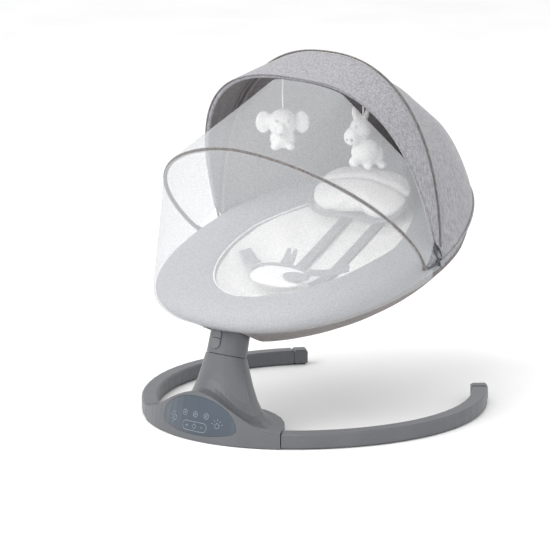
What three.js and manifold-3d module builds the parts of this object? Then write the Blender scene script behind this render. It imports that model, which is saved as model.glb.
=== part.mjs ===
// Baby swing: a C-shaped floor base with a drive pod, a leaning post, and a cradle seat
// with a folding hood, an insect net and two hanging plush toys. Millimetres, +Z up,
// -Y is the foot end with the control panel, +X is the sitter's left.
import * as THREE from "three";
import { mergeVertices } from "three/addons/utils/BufferGeometryUtils.js";
import Module from "manifold-3d";

const wasm = await Module();
wasm.setup();

const RAD = Math.PI / 180;
const GAP = 0.4; // clearance between pieces that touch
const SMALL = 1e-6;

// ---- driving dimensions ----
const ORIGIN_SHIFT_Y = 11.3; // puts the middle of the whole swing's length over the origin

// The base ring's radius, as a cosine series of the angle from the foot end.
const BASE_WAVE = [301, 28, 12, 3.5, 1.8, 0.9];
const ARM_WIDTH = 27;
const ARM_TOP = 27;
const ARM_WALL = 2.5;
const ARM_BEVEL = 2.5;
const SEAM_ANGLE = 26.5 * RAD; // where an arm plugs into the pod
const CAP_ANGLE = 128.6 * RAD; // where the end cap starts
const TIP_ANGLE = 134 * RAD;
const SHELL_BOTTOM = 1.5; // the rubber feet stand the shells off the floor by this much
const ARM_STEPS = 18;

const POD_CREST = 81; // height of the crease over the panel
const POD_REAR_Y = -190; // back of the pod on the floor
const POD_WALL = 3.5;
const POD_FRONT_LEAN = 0.19; // the front wall leans back by this share of its height
const PANEL_HALF_WIDTH = 80;
const PANEL_MID_Z = 26;
const PANEL_TOP_Z = 74;
const PANEL_BOTTOM_Z = 11;
const PANEL_THICKNESS = 2;
const PANEL_BACK_Y = -323; // the panel is cut from the front wall, ahead of this

const LEAN = 16 * RAD; // the swing axis leans back towards the head end
const NECK_Y = -260;
const NECK_Z = 130; // centre of the gap between the pod and the collar
const NECK_RADIUS = 34;
const COLLAR_BOTTOM = 1;
const COLLAR_TOP = 47;
const COLLAR_BORE = 15.4;
const SHAFT_RADIUS = 11;
const POST_RADIUS = 15;
const POST_HEIGHT = 34;
const SHAFT_BOTTOM = -92;

const SEAT_Y = 2.5;
const SEAT_Z = 282;
const SEAT_TILT = 15.7 * RAD;
const RIM = { halfWidth: 240, halfLength: 324, rear: 1.63, front: 2.39, shift: 0, lift: 0 };
const OPENING = { halfWidth: 155, halfLength: 235, rear: 1.41, front: 1.95, shift: -9, lift: 12 };
const TUBE_U = 1.75; // the rim tube runs three quarters of the way from the opening to the edge
const TUBE_DROP = -3;
const TUBE_RADIUS = 9;
const TUBE_WALL = 1.2;
const SLING_DEPTH = 88;
const LINER_POLE = -70; // where the seat is deepest, measured from its middle
const LINER_DEPTH = 57;
const LINER_THICKNESS = 9;

const HOOD_LANES = { mid: 235, front: 240.4, net: 245.8 }; // each bow turns in its own plane beside the hub
const BOW_RADIUS = 2.5;
const MID_BOW = { angle: 89.8 * RAD, radius: 326, squareness: 2.34 };
const FRONT_BOW = { angle: 72.5 * RAD, radius: 313, squareness: 2.82 };
const NET_BOW = { angle: 46.1 * RAD, radius: 282, squareness: 1.81, sideSquareness: 1.72, bulge: 96 };
const NET_START = { forward: 41.8, down: 8.6 };
const HEM_ANGLE = 180 * RAD - SEAT_TILT; // the rim plane behind the hub
const FABRIC = 2;
const NET_FABRIC = 1.2;
const NET_PROUD = BOW_RADIUS + 3.6;

const TOY_X = { elephant: -98, donkey: 79 };
const TOY_Z = { elephant: 474, donkey: 470 };
const TOY_TURN = 40 * RAD; // the toys hang turned a little towards the sitter's left

// ---- meshes ----
function toSolid(geometry) {
  const bare = geometry.clone();
  bare.deleteAttribute("normal");
  bare.deleteAttribute("uv");
  const merged = mergeVertices(bare, 1e-4);
  const triangles = dropSlivers(merged.index.array);
  const solid = new wasm.Manifold(
    new wasm.Mesh({ numProp: 3, vertProperties: merged.attributes.position.array, triVerts: triangles }),
  );
  if (solid.volume() >= 0) return solid;
  for (let i = 0; i < triangles.length; i += 3)
    [triangles[i + 1], triangles[i + 2]] = [triangles[i + 2], triangles[i + 1]];
  return new wasm.Manifold(
    new wasm.Mesh({ numProp: 3, vertProperties: merged.attributes.position.array, triVerts: triangles }),
  );
}

function dropSlivers(index) {
  const kept = [];
  for (let i = 0; i < index.length; i += 3) {
    const [a, b, c] = [index[i], index[i + 1], index[i + 2]];
    if (a !== b && b !== c && a !== c) kept.push(a, b, c);
  }
  return new Uint32Array(kept);
}

function toGeometry(solid) {
  const mesh = solid.getMesh();
  const positions = new Float32Array(mesh.numVert * 3);
  for (let i = 0; i < mesh.numVert; i++)
    positions.set(mesh.vertProperties.subarray(i * mesh.numProp, i * mesh.numProp + 3), i * 3);
  const geometry = new THREE.BufferGeometry();
  geometry.setAttribute("position", new THREE.BufferAttribute(positions, 3));
  geometry.setIndex(new THREE.BufferAttribute(mesh.triVerts, 1));
  geometry.computeVertexNormals();
  return geometry;
}

const MATERIALS = {
  plastic: { color: 0x707276, roughness: 0.55, metalness: 0 },
  darkPlastic: { color: 0x5f6165, roughness: 0.6, metalness: 0 },
  panel: { color: 0x55606a, roughness: 0.15, metalness: 0 },
  rubber: { color: 0x2c2c2d, roughness: 0.9, metalness: 0 },
  aluminium: { color: 0xb9bcc0, roughness: 0.35, metalness: 1 },
  steel: { color: 0x9a9da1, roughness: 0.3, metalness: 1 },
  copper: { color: 0xb5713f, roughness: 0.4, metalness: 1 },
  board: { color: 0x2f6b46, roughness: 0.6, metalness: 0 },
  heather: { color: 0xa7a8ab, roughness: 0.95, metalness: 0 },
  underside: { color: 0x6b6766, roughness: 0.95, metalness: 0 },
  liner: { color: 0xe8e7e4, roughness: 0.95, metalness: 0 },
  strap: { color: 0xb4b6b7, roughness: 0.9, metalness: 0 },
  net: { color: 0xe9ebec, roughness: 0.9, metalness: 0 },
  plush: { color: 0xf0efed, roughness: 1, metalness: 0 },
};

function add(parent, name, shape, look) {
  const geometry = shape.isBufferGeometry ? toGeometry(toSolid(shape)) : toGeometry(shape);
  const mesh = new THREE.Mesh(geometry, new THREE.MeshStandardMaterial(MATERIALS[look]));
  mesh.name = name;
  parent.add(mesh);
  return mesh;
}

// A closed surface through rings of points; each ring is closed, and the rings close too when wrapped.
function ringSurface(rings, wrapped) {
  const positions = rings.flat().flatMap((p) => [p.x, p.y, p.z]);
  const count = rings[0].length;
  const index = [];
  const last = wrapped ? rings.length : rings.length - 1;
  for (let i = 0; i < last; i++) {
    const next = (i + 1) % rings.length;
    for (let j = 0; j < count; j++) {
      const k = (j + 1) % count;
      const [a, b, c, d] = [i * count + j, i * count + k, next * count + k, next * count + j];
      index.push(a, b, c, a, c, d);
    }
  }
  if (!wrapped) {
    capRing(positions, index, 0, count, true);
    capRing(positions, index, (rings.length - 1) * count, count, false);
  }
  return geometryOf(positions, index);
}

function capRing(positions, index, start, count, reversed) {
  const middle = [0, 0, 0];
  for (let j = 0; j < count; j++)
    for (let axis = 0; axis < 3; axis++) middle[axis] += positions[(start + j) * 3 + axis] / count;
  const centre = positions.length / 3;
  positions.push(...middle);
  for (let j = 0; j < count; j++) {
    const [a, b] = [start + j, start + ((j + 1) % count)];
    index.push(...(reversed ? [centre, b, a] : [centre, a, b]));
  }
}

function geometryOf(positions, index) {
  const geometry = new THREE.BufferGeometry();
  geometry.setAttribute("position", new THREE.Float32BufferAttribute(positions, 3));
  geometry.setIndex(index);
  return geometry;
}

// A thin closed shell: rows of points on its outer face, and the same rows moved inwards by a thickness.
function sheetSolid(rows, inwards) {
  const count = rows[0].length;
  const outer = rows.flat();
  const points = [...outer, ...outer.map(inwards)];
  const positions = points.flatMap((p) => [p.x, p.y, p.z]);
  const back = outer.length;
  const index = [];
  const quad = (a, b, c, d) => index.push(a, b, c, a, c, d);
  for (let i = 0; i < rows.length - 1; i++)
    for (let j = 0; j < count - 1; j++) {
      const a = i * count + j;
      quad(a, a + 1, a + count + 1, a + count);
      quad(back + a + count, back + a + count + 1, back + a + 1, back + a);
    }
  for (let i = 0; i < rows.length - 1; i++) {
    const [a, b] = [i * count, i * count + count - 1];
    quad(a, a + count, back + a + count, back + a);
    quad(b + count, b, back + b, back + b + count);
  }
  const bottom = (rows.length - 1) * count;
  for (let j = 0; j < count - 1; j++) {
    quad(j + 1, j, back + j, back + j + 1);
    quad(bottom + j, bottom + j + 1, back + bottom + j + 1, back + bottom + j);
  }
  return geometryOf(positions, index);
}

function towards(centre, thickness) {
  return (p) => {
    const step = new THREE.Vector3().subVectors(centre(p), p).setLength(thickness);
    return new THREE.Vector3().addVectors(p, step);
  };
}

function rod(points, radius, sides, steps, wall = 0) {
  const section = new THREE.Shape();
  section.setFromPoints(circlePoints(radius, sides));
  if (wall) section.holes.push(new THREE.Path(circlePoints(radius - wall, sides).reverse()));
  const path = new THREE.CatmullRomCurve3(points);
  return new THREE.ExtrudeGeometry(section, { extrudePath: path, steps, bevelEnabled: false });
}

function circlePoints(radius, sides) {
  return Array.from({ length: sides }, (_, i) => {
    const angle = (i / sides) * 2 * Math.PI;
    return new THREE.Vector2(radius * Math.cos(angle), radius * Math.sin(angle));
  });
}

function box(width, depth, height, x, y, z) {
  return new THREE.BoxGeometry(width, depth, height).translate(x, y, z);
}

// A cylinder along +Z from one height to another.
function post(radius, bottom, top, sides = 16, topRadius = radius) {
  const made = new THREE.CylinderGeometry(topRadius, radius, top - bottom, sides);
  return made.rotateX(Math.PI / 2).translate(0, 0, (bottom + top) / 2);
}

// A cylinder along X from one place to another.
function pinAlongX(radius, from, to, y, z, sides = 16) {
  const made = new THREE.CylinderGeometry(radius, radius, Math.abs(to - from), sides);
  return made.rotateZ(Math.PI / 2).translate((from + to) / 2, y, z);
}

function lathe(profile, sides) {
  const points = profile.map(([r, z]) => new THREE.Vector2(Math.max(r, SMALL), z));
  return new THREE.LatheGeometry(points, sides).rotateX(Math.PI / 2);
}

function joined(...shapes) {
  return shapes.map((s) => (s.isBufferGeometry ? toSolid(s) : s)).reduce((a, b) => a.add(b));
}

function cut(shape, ...tools) {
  const start = shape.isBufferGeometry ? toSolid(shape) : shape;
  return tools.map((s) => (s.isBufferGeometry ? toSolid(s) : s)).reduce((a, b) => a.subtract(b), start);
}

// The largest of a solid's separate bodies, without the crumbs a cut can leave.
function mainBody(solid) {
  return solid.decompose().reduce((best, body) => (body.volume() > best.volume() ? body : best));
}

// ---- base ----
function ringPoint(angle, inset = 0) {
  const radius = (a) => BASE_WAVE.reduce((sum, share, i) => sum + share * Math.cos(i * a), 0);
  const at = (a) => new THREE.Vector2(radius(a) * Math.sin(a), -radius(a) * Math.cos(a));
  const along = new THREE.Vector2().subVectors(at(angle + 0.001), at(angle - 0.001)).normalize();
  return at(angle).add(new THREE.Vector2(-along.y, along.x).multiplyScalar(inset));
}

// A stretch of the base ring as an upright band, optionally bevelled all round.
function ringBand(from, to, outer, inner, bottom, top, bevel = 0) {
  const steps = Math.max(3, Math.round((ARM_STEPS * Math.abs(to - from)) / (CAP_ANGLE - SEAM_ANGLE)));
  const angles = Array.from({ length: steps + 1 }, (_, i) => from + ((to - from) * i) / steps);
  const outside = angles.map((a) => ringPoint(a, outer + bevel));
  const inside = angles.map((a) => ringPoint(a, inner - bevel)).reverse();
  const shape = new THREE.Shape([...outside, ...inside]);
  const options = { depth: top - bottom - 2 * bevel, steps: 1, bevelEnabled: bevel > 0 };
  Object.assign(options, { bevelSize: bevel, bevelThickness: bevel, bevelSegments: 1 });
  return new THREE.ExtrudeGeometry(shape, options).translate(0, 0, bottom + bevel);
}

function armTube(side) {
  const margin = 0.012; // the band's own bevel grows its ends, so it starts a little inside the seams
  const from = side * (SEAM_ANGLE + margin);
  const to = side * (CAP_ANGLE - margin);
  const body = ringBand(from, to, 0, ARM_WIDTH, SHELL_BOTTOM, ARM_TOP, ARM_BEVEL);
  const reach = 0.08;
  const hollow = ringBand(
    side * (SEAM_ANGLE - reach), side * (CAP_ANGLE + reach),
    ARM_WALL, ARM_WIDTH - ARM_WALL, SHELL_BOTTOM + ARM_WALL, ARM_TOP - ARM_WALL,
  );
  return cut(body, hollow);
}

function armCap(side) {
  const proud = 0.7;
  const margin = 0.014;
  return ringBand(
    side * (CAP_ANGLE + margin), side * (TIP_ANGLE - margin),
    -proud, ARM_WIDTH + proud, SHELL_BOTTOM, ARM_TOP + proud, ARM_BEVEL + 1,
  );
}

function foot(side, from, to) {
  const edge = 6;
  return ringBand(side * from, side * to, edge, ARM_WIDTH - edge, 0, SHELL_BOTTOM - GAP / 4);
}

// The pod's outline on the floor, as points that each know where they meet the crest and the collar.
const POD_FRONT_POINTS = 20;
const POD_END_POINTS = 2;
const POD_REAR_POINTS = 14;

function podOutline(inset) {
  const seam = SEAM_ANGLE - inset / ringPoint(SEAM_ANGLE).length();
  const points = [];
  for (let i = 0; i <= POD_FRONT_POINTS; i++) {
    const share = i / POD_FRONT_POINTS;
    const angle = seam * (2 * share - 1);
    const crest = Math.cos((angle / SEAM_ANGLE) * 90 * RAD) ** 2;
    const height = ARM_TOP + (POD_CREST - ARM_TOP) * crest;
    points.push({ at: ringPoint(angle, inset), front: angle, height });
  }
  for (let i = 1; i < POD_END_POINTS; i++) {
    const across = inset + ((ARM_WIDTH - 2 * inset) * i) / POD_END_POINTS;
    points.push({ at: ringPoint(seam, across), height: ARM_TOP });
  }
  for (let i = 0; i <= POD_REAR_POINTS; i++) {
    const share = i / POD_REAR_POINTS;
    const start = ringPoint(seam, ARM_WIDTH - inset);
    const depth = POD_REAR_Y - inset - start.y;
    const x = start.x * Math.cos(share * Math.PI);
    const y = start.y + depth * Math.sin(share * Math.PI) ** 1.5;
    points.push({ at: new THREE.Vector2(x, y), height: ARM_TOP });
  }
  for (let i = POD_END_POINTS - 1; i > 0; i--) {
    const across = inset + ((ARM_WIDTH - 2 * inset) * i) / POD_END_POINTS;
    points.push({ at: ringPoint(-seam, across), height: ARM_TOP });
  }
  return points;
}

// From the crest inwards, how far a point has gone to the collar (first) and how far up (second).
const POD_FLARE = [
  [0, 0], [0.3, 0.015], [0.45, 0.05], [0.6, 0.14], [0.72, 0.3], [0.84, 0.55], [0.93, 0.8], [1, 1],
];

function podSolid(inset, bottom, topInset = inset) {
  const outline = podOutline(inset);
  const neckRadius = NECK_RADIUS + 1 - topInset;
  const neckPoint = (i) => {
    const angle = neckAngle(i, outline.length);
    const y = neckRadius * Math.sin(angle);
    const top = -topInset;
    return new THREE.Vector3(
      neckRadius * Math.cos(angle),
      NECK_Y + y * Math.cos(LEAN) + top * Math.sin(LEAN),
      NECK_Z - y * Math.sin(LEAN) + top * Math.cos(LEAN),
    );
  };
  const crestPoint = (p) => {
    const facing = p.front === undefined ? 0 : Math.cos((p.front / SEAM_ANGLE) * 90 * RAD);
    const lean = (p.height - SHELL_BOTTOM) * POD_FRONT_LEAN * facing;
    const at = p.front === undefined ? p.at : ringPoint(p.front, inset + lean);
    return new THREE.Vector3(at.x, at.y, p.height - inset);
  };
  const rings = [outline.map((p) => new THREE.Vector3(p.at.x, p.at.y, bottom))];
  for (const [inwards, up] of POD_FLARE)
    rings.push(outline.map((p, i) => {
      const [crest, neck] = [crestPoint(p), neckPoint(i)];
      return new THREE.Vector3(
        crest.x + (neck.x - crest.x) * inwards,
        crest.y + (neck.y - crest.y) * inwards,
        crest.z + (neck.z - crest.z) * up,
      );
    }));
  return toSolid(ringSurface(rings, false));
}

// Spreads the outline's points round the collar by their place in the outline, so that none bunch up.
function neckAngle(i, count) {
  const frontShare = i / POD_FRONT_POINTS;
  if (frontShare <= 1) return (160 * frontShare - 170) * RAD;
  return (200 * ((i - POD_FRONT_POINTS) / (count - POD_FRONT_POINTS)) - 10) * RAD;
}

function panelPrism(grow) {
  const width = PANEL_HALF_WIDTH + grow;
  const upper = PANEL_TOP_Z - PANEL_MID_Z + grow;
  const lower = PANEL_MID_Z - PANEL_BOTTOM_Z + grow;
  const steps = 28;
  const points = Array.from({ length: steps }, (_, i) => {
    const angle = (i / steps) * 2 * Math.PI;
    const height = Math.sin(angle) > 0 ? upper : lower;
    return new THREE.Vector2(width * Math.cos(angle), PANEL_MID_Z + height * Math.sin(angle));
  });
  const made = new THREE.ExtrudeGeometry(new THREE.Shape(points), { depth: 80, bevelEnabled: false });
  return toSolid(made.rotateX(Math.PI / 2).translate(0, PANEL_BACK_Y, 0));
}

function neckTool(shape) {
  return shape.rotateX(-LEAN).translate(0, NECK_Y, NECK_Z);
}

function buildBase(parent) {
  const outer = podSolid(0, SHELL_BOTTOM);
  const inner = podSolid(POD_WALL, SHELL_BOTTOM - 5);
  const pocket = panelPrism(0.4).subtract(podSolid(PANEL_THICKNESS + 0.3, -5, 0));
  const shaftHole = toSolid(neckTool(post(SHAFT_RADIUS + 3, -30, 30)));
  const coverTop = SHELL_BOTTOM + 3;
  const inletHole = toSolid(new THREE.CylinderGeometry(5.6, 5.6, 40, 16).translate(0, POD_REAR_Y, 16));
  const shell = cut(outer, inner, pocket, shaftHole, inletHole);
  add(parent, "base_shell", mainBody(shell), "plastic");
  const panelBack = podSolid(PANEL_THICKNESS, -5, 0);
  add(parent, "control_panel", mainBody(outer.subtract(panelBack).intersect(panelPrism(0))), "panel");
  add(parent, "bottom_cover", bottomCover(coverTop), "darkPlastic");
  for (const [side, name] of [[-1, "right"], [1, "left"]]) {
    add(parent, `arm_${name}`, armTube(side), "plastic");
    add(parent, `arm_cap_${name}`, armCap(side), "darkPlastic");
    add(parent, `foot_front_${name}`, foot(side, 18 * RAD, 23 * RAD), "rubber");
    add(parent, `foot_side_${name}`, foot(side, 75 * RAD, 81 * RAD), "rubber");
    add(parent, `foot_rear_${name}`, foot(side, CAP_ANGLE + 1 * RAD, TIP_ANGLE - 1 * RAD), "rubber");
  }
  add(parent, "dc_inlet", dcInlet(), "darkPlastic");
  buildDrive(parent, coverTop);
}

const DOOR = { width: 70, length: 36, y: -271 };

function bottomCover(top) {
  const inside = podOutline(POD_WALL + 2.4).map((p) => p.at);
  const depth = top - SHELL_BOTTOM;
  const plate = new THREE.ExtrudeGeometry(new THREE.Shape(inside), { depth, bevelEnabled: false });
  const opening = box(DOOR.width, DOOR.length, 20, 0, DOOR.y, 0);
  return cut(plate.translate(0, 0, SHELL_BOTTOM), opening);
}

function dcInlet() {
  const barrel = new THREE.CylinderGeometry(5, 5, 14, 16).translate(0, POD_REAR_Y - 8, 16);
  const socket = new THREE.CylinderGeometry(2.8, 2.8, 12, 12).translate(0, POD_REAR_Y - 4, 16);
  return cut(barrel, socket);
}

function buildDrive(parent, floor) {
  const trayWall = 1.5;
  const trayHeight = 17;
  const tray = box(DOOR.width + 8, DOOR.length + 8, trayHeight, 0, DOOR.y, floor + trayHeight / 2 + GAP);
  const hollowZ = floor + trayHeight / 2 + GAP - trayWall;
  const trayHollow = box(DOOR.width, DOOR.length, trayHeight, 0, DOOR.y, hollowZ);
  add(parent, "battery_box", cut(tray, trayHollow), "darkPlastic");
  const doorThickness = 2.5;
  const doorZ = SHELL_BOTTOM + doorThickness / 2;
  const door = box(DOOR.width - 2 * GAP, DOOR.length - 2 * GAP, doorThickness, 0, DOOR.y, doorZ);
  add(parent, "battery_door", door, "darkPlastic");
  const neck = new THREE.Group();
  neck.position.set(0, NECK_Y, NECK_Z);
  neck.rotation.x = -LEAN;
  parent.add(neck);
  const housing = cut(post(20, -76, -12), post(SHAFT_RADIUS + 7.4, -90, 5));
  add(neck, "shaft_housing", housing, "darkPlastic");
  for (const [name, bottom] of [["lower_bearing", -74], ["upper_bearing", -23]]) {
    const ring = post(SHAFT_RADIUS + 7, bottom, bottom + 9);
    const bore = post(SHAFT_RADIUS + 0.05 + GAP, bottom - 1, bottom + 10);
    add(neck, name, cut(ring, bore), "steel");
  }
  add(parent, "control_board", box(104, 1.6, 30, 0, -322, 30), "board");
  add(parent, "speaker", speaker().translate(66, -268, floor + GAP), "darkPlastic");
  add(parent, "drive_coil", driveCoil().translate(0, -226, floor + GAP), "copper");
}

function speaker() {
  return lathe([[0, 0], [18, 0], [18, 6], [11, 12], [11, 17], [0, 17]], 16);
}

function driveCoil() {
  return lathe([[7, 0], [15, 0], [15, 12], [7, 12], [7, 0]], 16);
}

// ---- swing head: the shaft that turns in the base ----
function buildSwingHead(neck) {
  const flange = post(POST_RADIUS + 4, 1, 3.5);
  const shaft = joined(post(SHAFT_RADIUS, SHAFT_BOTTOM, 2), post(POST_RADIUS, 1.5, POST_HEIGHT), flange);
  add(neck, "swing_shaft", shaft, "steel");
  const hub = post(SHAFT_RADIUS + 4, SHAFT_BOTTOM - 5.5, SHAFT_BOTTOM - GAP);
  const arm = joined(box(16, 62, 5, 0, 30, SHAFT_BOTTOM - 3), hub);
  add(neck, "magnet_arm", arm, "darkPlastic");
}

// ---- seat ----
function outlinePoint(outline, angle) {
  const { halfWidth, halfLength, shift } = outline;
  const [c, s] = [Math.cos(angle), Math.sin(angle)];
  const power = 2 / (s < 0 ? outline.front : outline.rear);
  return new THREE.Vector2(
    halfWidth * Math.sign(c) * Math.abs(c) ** power,
    shift + halfLength * Math.sign(s) * Math.abs(s) ** power,
  );
}

// A place on the seat: u is 0 at the middle, 1 on the opening and 2 on the outer edge of the rim.
function seatPoint(u, angle, height, pole = OPENING.shift) {
  const opening = outlinePoint(OPENING, angle);
  const edge = outlinePoint(RIM, angle);
  if (u >= 1) {
    const at = opening.lerp(edge, u - 1);
    return new THREE.Vector3(at.x, at.y, height);
  }
  const at = new THREE.Vector2(0, pole).lerp(opening, u);
  return new THREE.Vector3(at.x, at.y, height);
}

const SEAT_SIDES = 34;

// The superellipse's own angle, evened out so that its corners get as many points as its sides.
function seatAngle(i, sides = SEAT_SIDES) {
  return (i / sides) * 2 * Math.PI;
}

// A profile of [u, height] pairs carried round the seat.
function seatSolid(profile, wrapped, height = (u, angle, h) => h, pole = OPENING.shift) {
  const angles = Array.from({ length: SEAT_SIDES }, (_, i) => seatAngle(i));
  const ring = ([u, h]) => angles.map((angle) => seatPoint(u, angle, height(u, angle, h), pole));
  const rings = profile.map(ring);
  return ringSurface(rings, wrapped);
}

function rimTube(from, to) {
  const steps = 26;
  const points = Array.from({ length: steps + 1 }, (_, i) =>
    seatPoint(TUBE_U, from + ((to - from) * i) / steps, TUBE_DROP),
  );
  return rod(points, TUBE_RADIUS, 8, 18, TUBE_WALL);
}

function tubeX() {
  return seatPoint(TUBE_U, 0, 0).x;
}

function hub(side) {
  const outer = 14;
  const along = 17;
  const x = side * tubeX();
  const sleeve = new THREE.CylinderGeometry(outer, outer, 2 * along, 14).translate(x, 0, TUBE_DROP);
  const radius = TUBE_RADIUS + 3.3;
  const bore = new THREE.CylinderGeometry(radius, radius, 3 * along, 14).translate(x, 0, TUBE_DROP);
  const pinHole = pinAlongX(3 + GAP / 2, x, side * 240, 0, TUBE_DROP, 12);
  return cut(sleeve, bore, pinHole);
}

function hubPin(side) {
  const shank = pinAlongX(3, side * (tubeX() + TUBE_RADIUS + 1.6), side * 249.2, 0, TUBE_DROP, 12);
  const head = pinAlongX(6, side * 248.8, side * 251.3, 0, TUBE_DROP, 16);
  return joined(shank, head);
}

// Where the hub and the bows' lower ends pass through a soft cover.
function hubNotch(side) {
  return box(60, 46, 90, side * (tubeX() + 15), 2, 10);
}

const HEADREST = { halfWidth: 104, halfLength: 58, thickness: 30, lean: 27, y: 116, z: 42 };

function rimCover() {
  const skin = [
    [1.9, -27], [1.985, -14], [2, 0], [1.97, 11], [1.87, 19], [1.6, 21], [1.25, 18], [1.0, 12],
    [1.0, 9], [1.3, 14.5], [1.6, 16.5], [1.86, 13.5], [1.945, 0], [1.87, -25],
  ];
  return cut(seatSolid(skin, true), hubNotch(-1), hubNotch(1));
}

function slingHeight(u) {
  const reach = Math.min(u / 1.9, 1);
  return -28 - (SLING_DEPTH - 28) * (1 - reach ** 2.6);
}

function sling() {
  const levels = [0, 0.5, 0.9, 1.25, 1.55, 1.75, 1.86];
  const outside = levels.map((u) => [u, slingHeight(u) - 2]);
  const inside = [...levels].reverse().map((u) => [u, slingHeight(u) + 0.5]);
  const shell = toSolid(seatSolid([...outside, ...inside], true));
  const neckHole = box(100, 110, 80, 0, -262, -60);
  return cut(shell, neckHole, hubNotch(-1), hubNotch(1));
}

function linerHeight(u, angle) {
  const rear = Math.max(Math.sin(angle), 0);
  const front = Math.max(-Math.sin(angle), 0);
  const power = 2.5 - 1.3 * rear + 0.8 * front;
  return OPENING.lift - LINER_DEPTH * (1 - u ** power);
}

function liner() {
  const levels = [0, 0.3, 0.55, 0.75, 0.88, 0.97];
  const top = levels.map((u) => [u, 0]);
  const bottom = [...levels].reverse().map((u) => [u, -LINER_THICKNESS]);
  const height = (u, angle, drop) => linerHeight(u, angle) - 2 + drop;
  return seatSolid([...top, ...bottom], true, height, LINER_POLE);
}

// The height of the liner's top at a place on the seat, found by stepping out from its deepest point.
function linerTop(x, y) {
  const away = new THREE.Vector2(x, y - LINER_POLE);
  let best = { miss: Infinity, height: 0 };
  for (let i = 0; i < 180; i++)
    for (let u = 0.02; u < 1; u += 0.02) {
      const at = seatPoint(u, seatAngle(i, 180), 0, LINER_POLE);
      const miss = Math.hypot(at.x - away.x, at.y - LINER_POLE - away.y);
      if (miss < best.miss) best = { miss, height: linerHeight(u, seatAngle(i, 180)) - 2 };
    }
  return best.height;
}

// A flat strap over the liner through places on the seat, lifted off it.
function strap(places, width, thickness, lift = 1.5) {
  const clear = (x, y) => Math.max(...[-1, 0, 1].map((side) => linerTop(x + (side * width) / 2, y)));
  const curve = new THREE.CatmullRomCurve3(places.map(([x, y, extra = 0]) =>
    new THREE.Vector3(x, y, clear(x, y) + lift + thickness + extra)));
  const steps = 8;
  const rows = [];
  for (let i = 0; i <= steps; i++) {
    const [p, t] = [curve.getPoint(i / steps), curve.getTangent(i / steps)];
    const side = new THREE.Vector3(-t.y, t.x, 0).setLength(width / 2);
    rows.push([new THREE.Vector3().subVectors(p, side), new THREE.Vector3().addVectors(p, side)]);
  }
  return sheetSolid(rows, (p) => new THREE.Vector3(p.x, p.y, p.z - thickness));
}

function pillow(halfWidth, halfLength, thickness, squareness) {
  const steps = 18;
  const profile = [[0, -0.5], [0.6, -0.48], [0.92, -0.3], [1, 0], [0.92, 0.3], [0.6, 0.48], [0, 0.5]];
  const rings = profile.map(([grow, level]) =>
    Array.from({ length: steps }, (_, i) => {
      const angle = (i / steps) * 2 * Math.PI;
      const [c, s] = [Math.cos(angle), Math.sin(angle)];
      return new THREE.Vector3(
        grow * halfWidth * Math.sign(c) * Math.abs(c) ** (2 / squareness),
        grow * halfLength * Math.sign(s) * Math.abs(s) ** (2 / squareness),
        level * thickness,
      );
    }));
  return ringSurface(rings.slice(1, -1), false);
}

const STRUT_RADIUS = 6;
const STRUT_ROUTE = [[34, -240, -24], [95, -190, -44], [160, -110, -46], [205, -45, -32]];
const STRUT_BEYOND = [[-10, -276, -10], [222, -15, -26]]; // the same line carried on past both ends

function strutRod(side, radius, carriedOn) {
  const route = carriedOn ? [STRUT_BEYOND[0], ...STRUT_ROUTE, STRUT_BEYOND[1]] : STRUT_ROUTE;
  return rod(route.map(([x, y, h]) => new THREE.Vector3(side * x, y, h)), radius, 8, carriedOn ? 20 : 12);
}

function buildSeat(seat) {
  add(seat, "rim_tube_front", rimTube(181 * RAD, 359 * RAD), "aluminium");
  add(seat, "rim_tube_rear", rimTube(1 * RAD, 179 * RAD), "aluminium");
  for (const [side, name] of [[-1, "right"], [1, "left"]]) {
    add(seat, `hub_${name}`, hub(side), "darkPlastic");
    add(seat, `hub_pin_${name}`, hubPin(side), "steel");
    add(seat, `strut_${name}`, strutRod(side, STRUT_RADIUS, false), "aluminium");
    add(seat, `strut_clamp_${name}`, strutClamp(side), "darkPlastic");
    const x = side * 36;
    const route = [[x, 108], [x, 60], [x, 20], [x, -20], [side * 34, -58], [side * 26, -92]];
    add(seat, `shoulder_strap_${name}`, strap(route, 24, 3), "strap");
    const waist = [[side * 120, -80, 6], [side * 92, -84, 8], [side * 62, -90, 10], [side * 34, -96, 14]];
    add(seat, `waist_pad_${name}`, strap(waist, 34, 8), "liner");
  }
  add(seat, "seat_bracket", bracket(), "darkPlastic");
  add(seat, "rim_cover", rimCover(), "heather");
  add(seat, "seat_sling", sling(), "underside");
  add(seat, "seat_liner", liner(), "liner");
  const head = pillow(HEADREST.halfWidth, HEADREST.halfLength, HEADREST.thickness, 2.6);
  add(seat, "headrest", head.rotateX(HEADREST.lean * RAD).translate(0, HEADREST.y, HEADREST.z), "liner");
  add(seat, "crotch_pad", pillow(34, 26, 18, 2.4).rotateX(35 * RAD).translate(0, -140, -16), "liner");
  add(seat, "buckle", pillow(15, 18, 9, 3).rotateX(15 * RAD).translate(0, -97, -15), "strap");
}

function strutClamp(side) {
  const block = box(16, 24, 40, side * 206, -45, -18.5);
  return cut(block, strutRod(side, STRUT_RADIUS + 0.6, true), rimClearance());
}

function rimClearance() {
  const steps = 26;
  const points = Array.from({ length: steps + 1 }, (_, i) =>
    seatPoint(TUBE_U, (181 + (178 * i) / steps) * RAD, TUBE_DROP),
  );
  return rod(points, TUBE_RADIUS + 1.2, 8, 18);
}

// ---- collar and bracket, in the neck's own leaning frame ----
function buildCollar(neck) {
  const outer = post(NECK_RADIUS, COLLAR_BOTTOM, COLLAR_TOP, 36, NECK_RADIUS - 1);
  const bore = post(COLLAR_BORE, -5, POST_HEIGHT + 2);
  const flange = post(POST_RADIUS + 4.6, -5, 4.2);
  add(neck, "neck_collar", cut(outer, bore, flange, buttonHole(0.5)), "plastic");
}

const BUTTON = { halfWidth: 9, halfHeight: 16.5, z: 25, depth: 12 };

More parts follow.
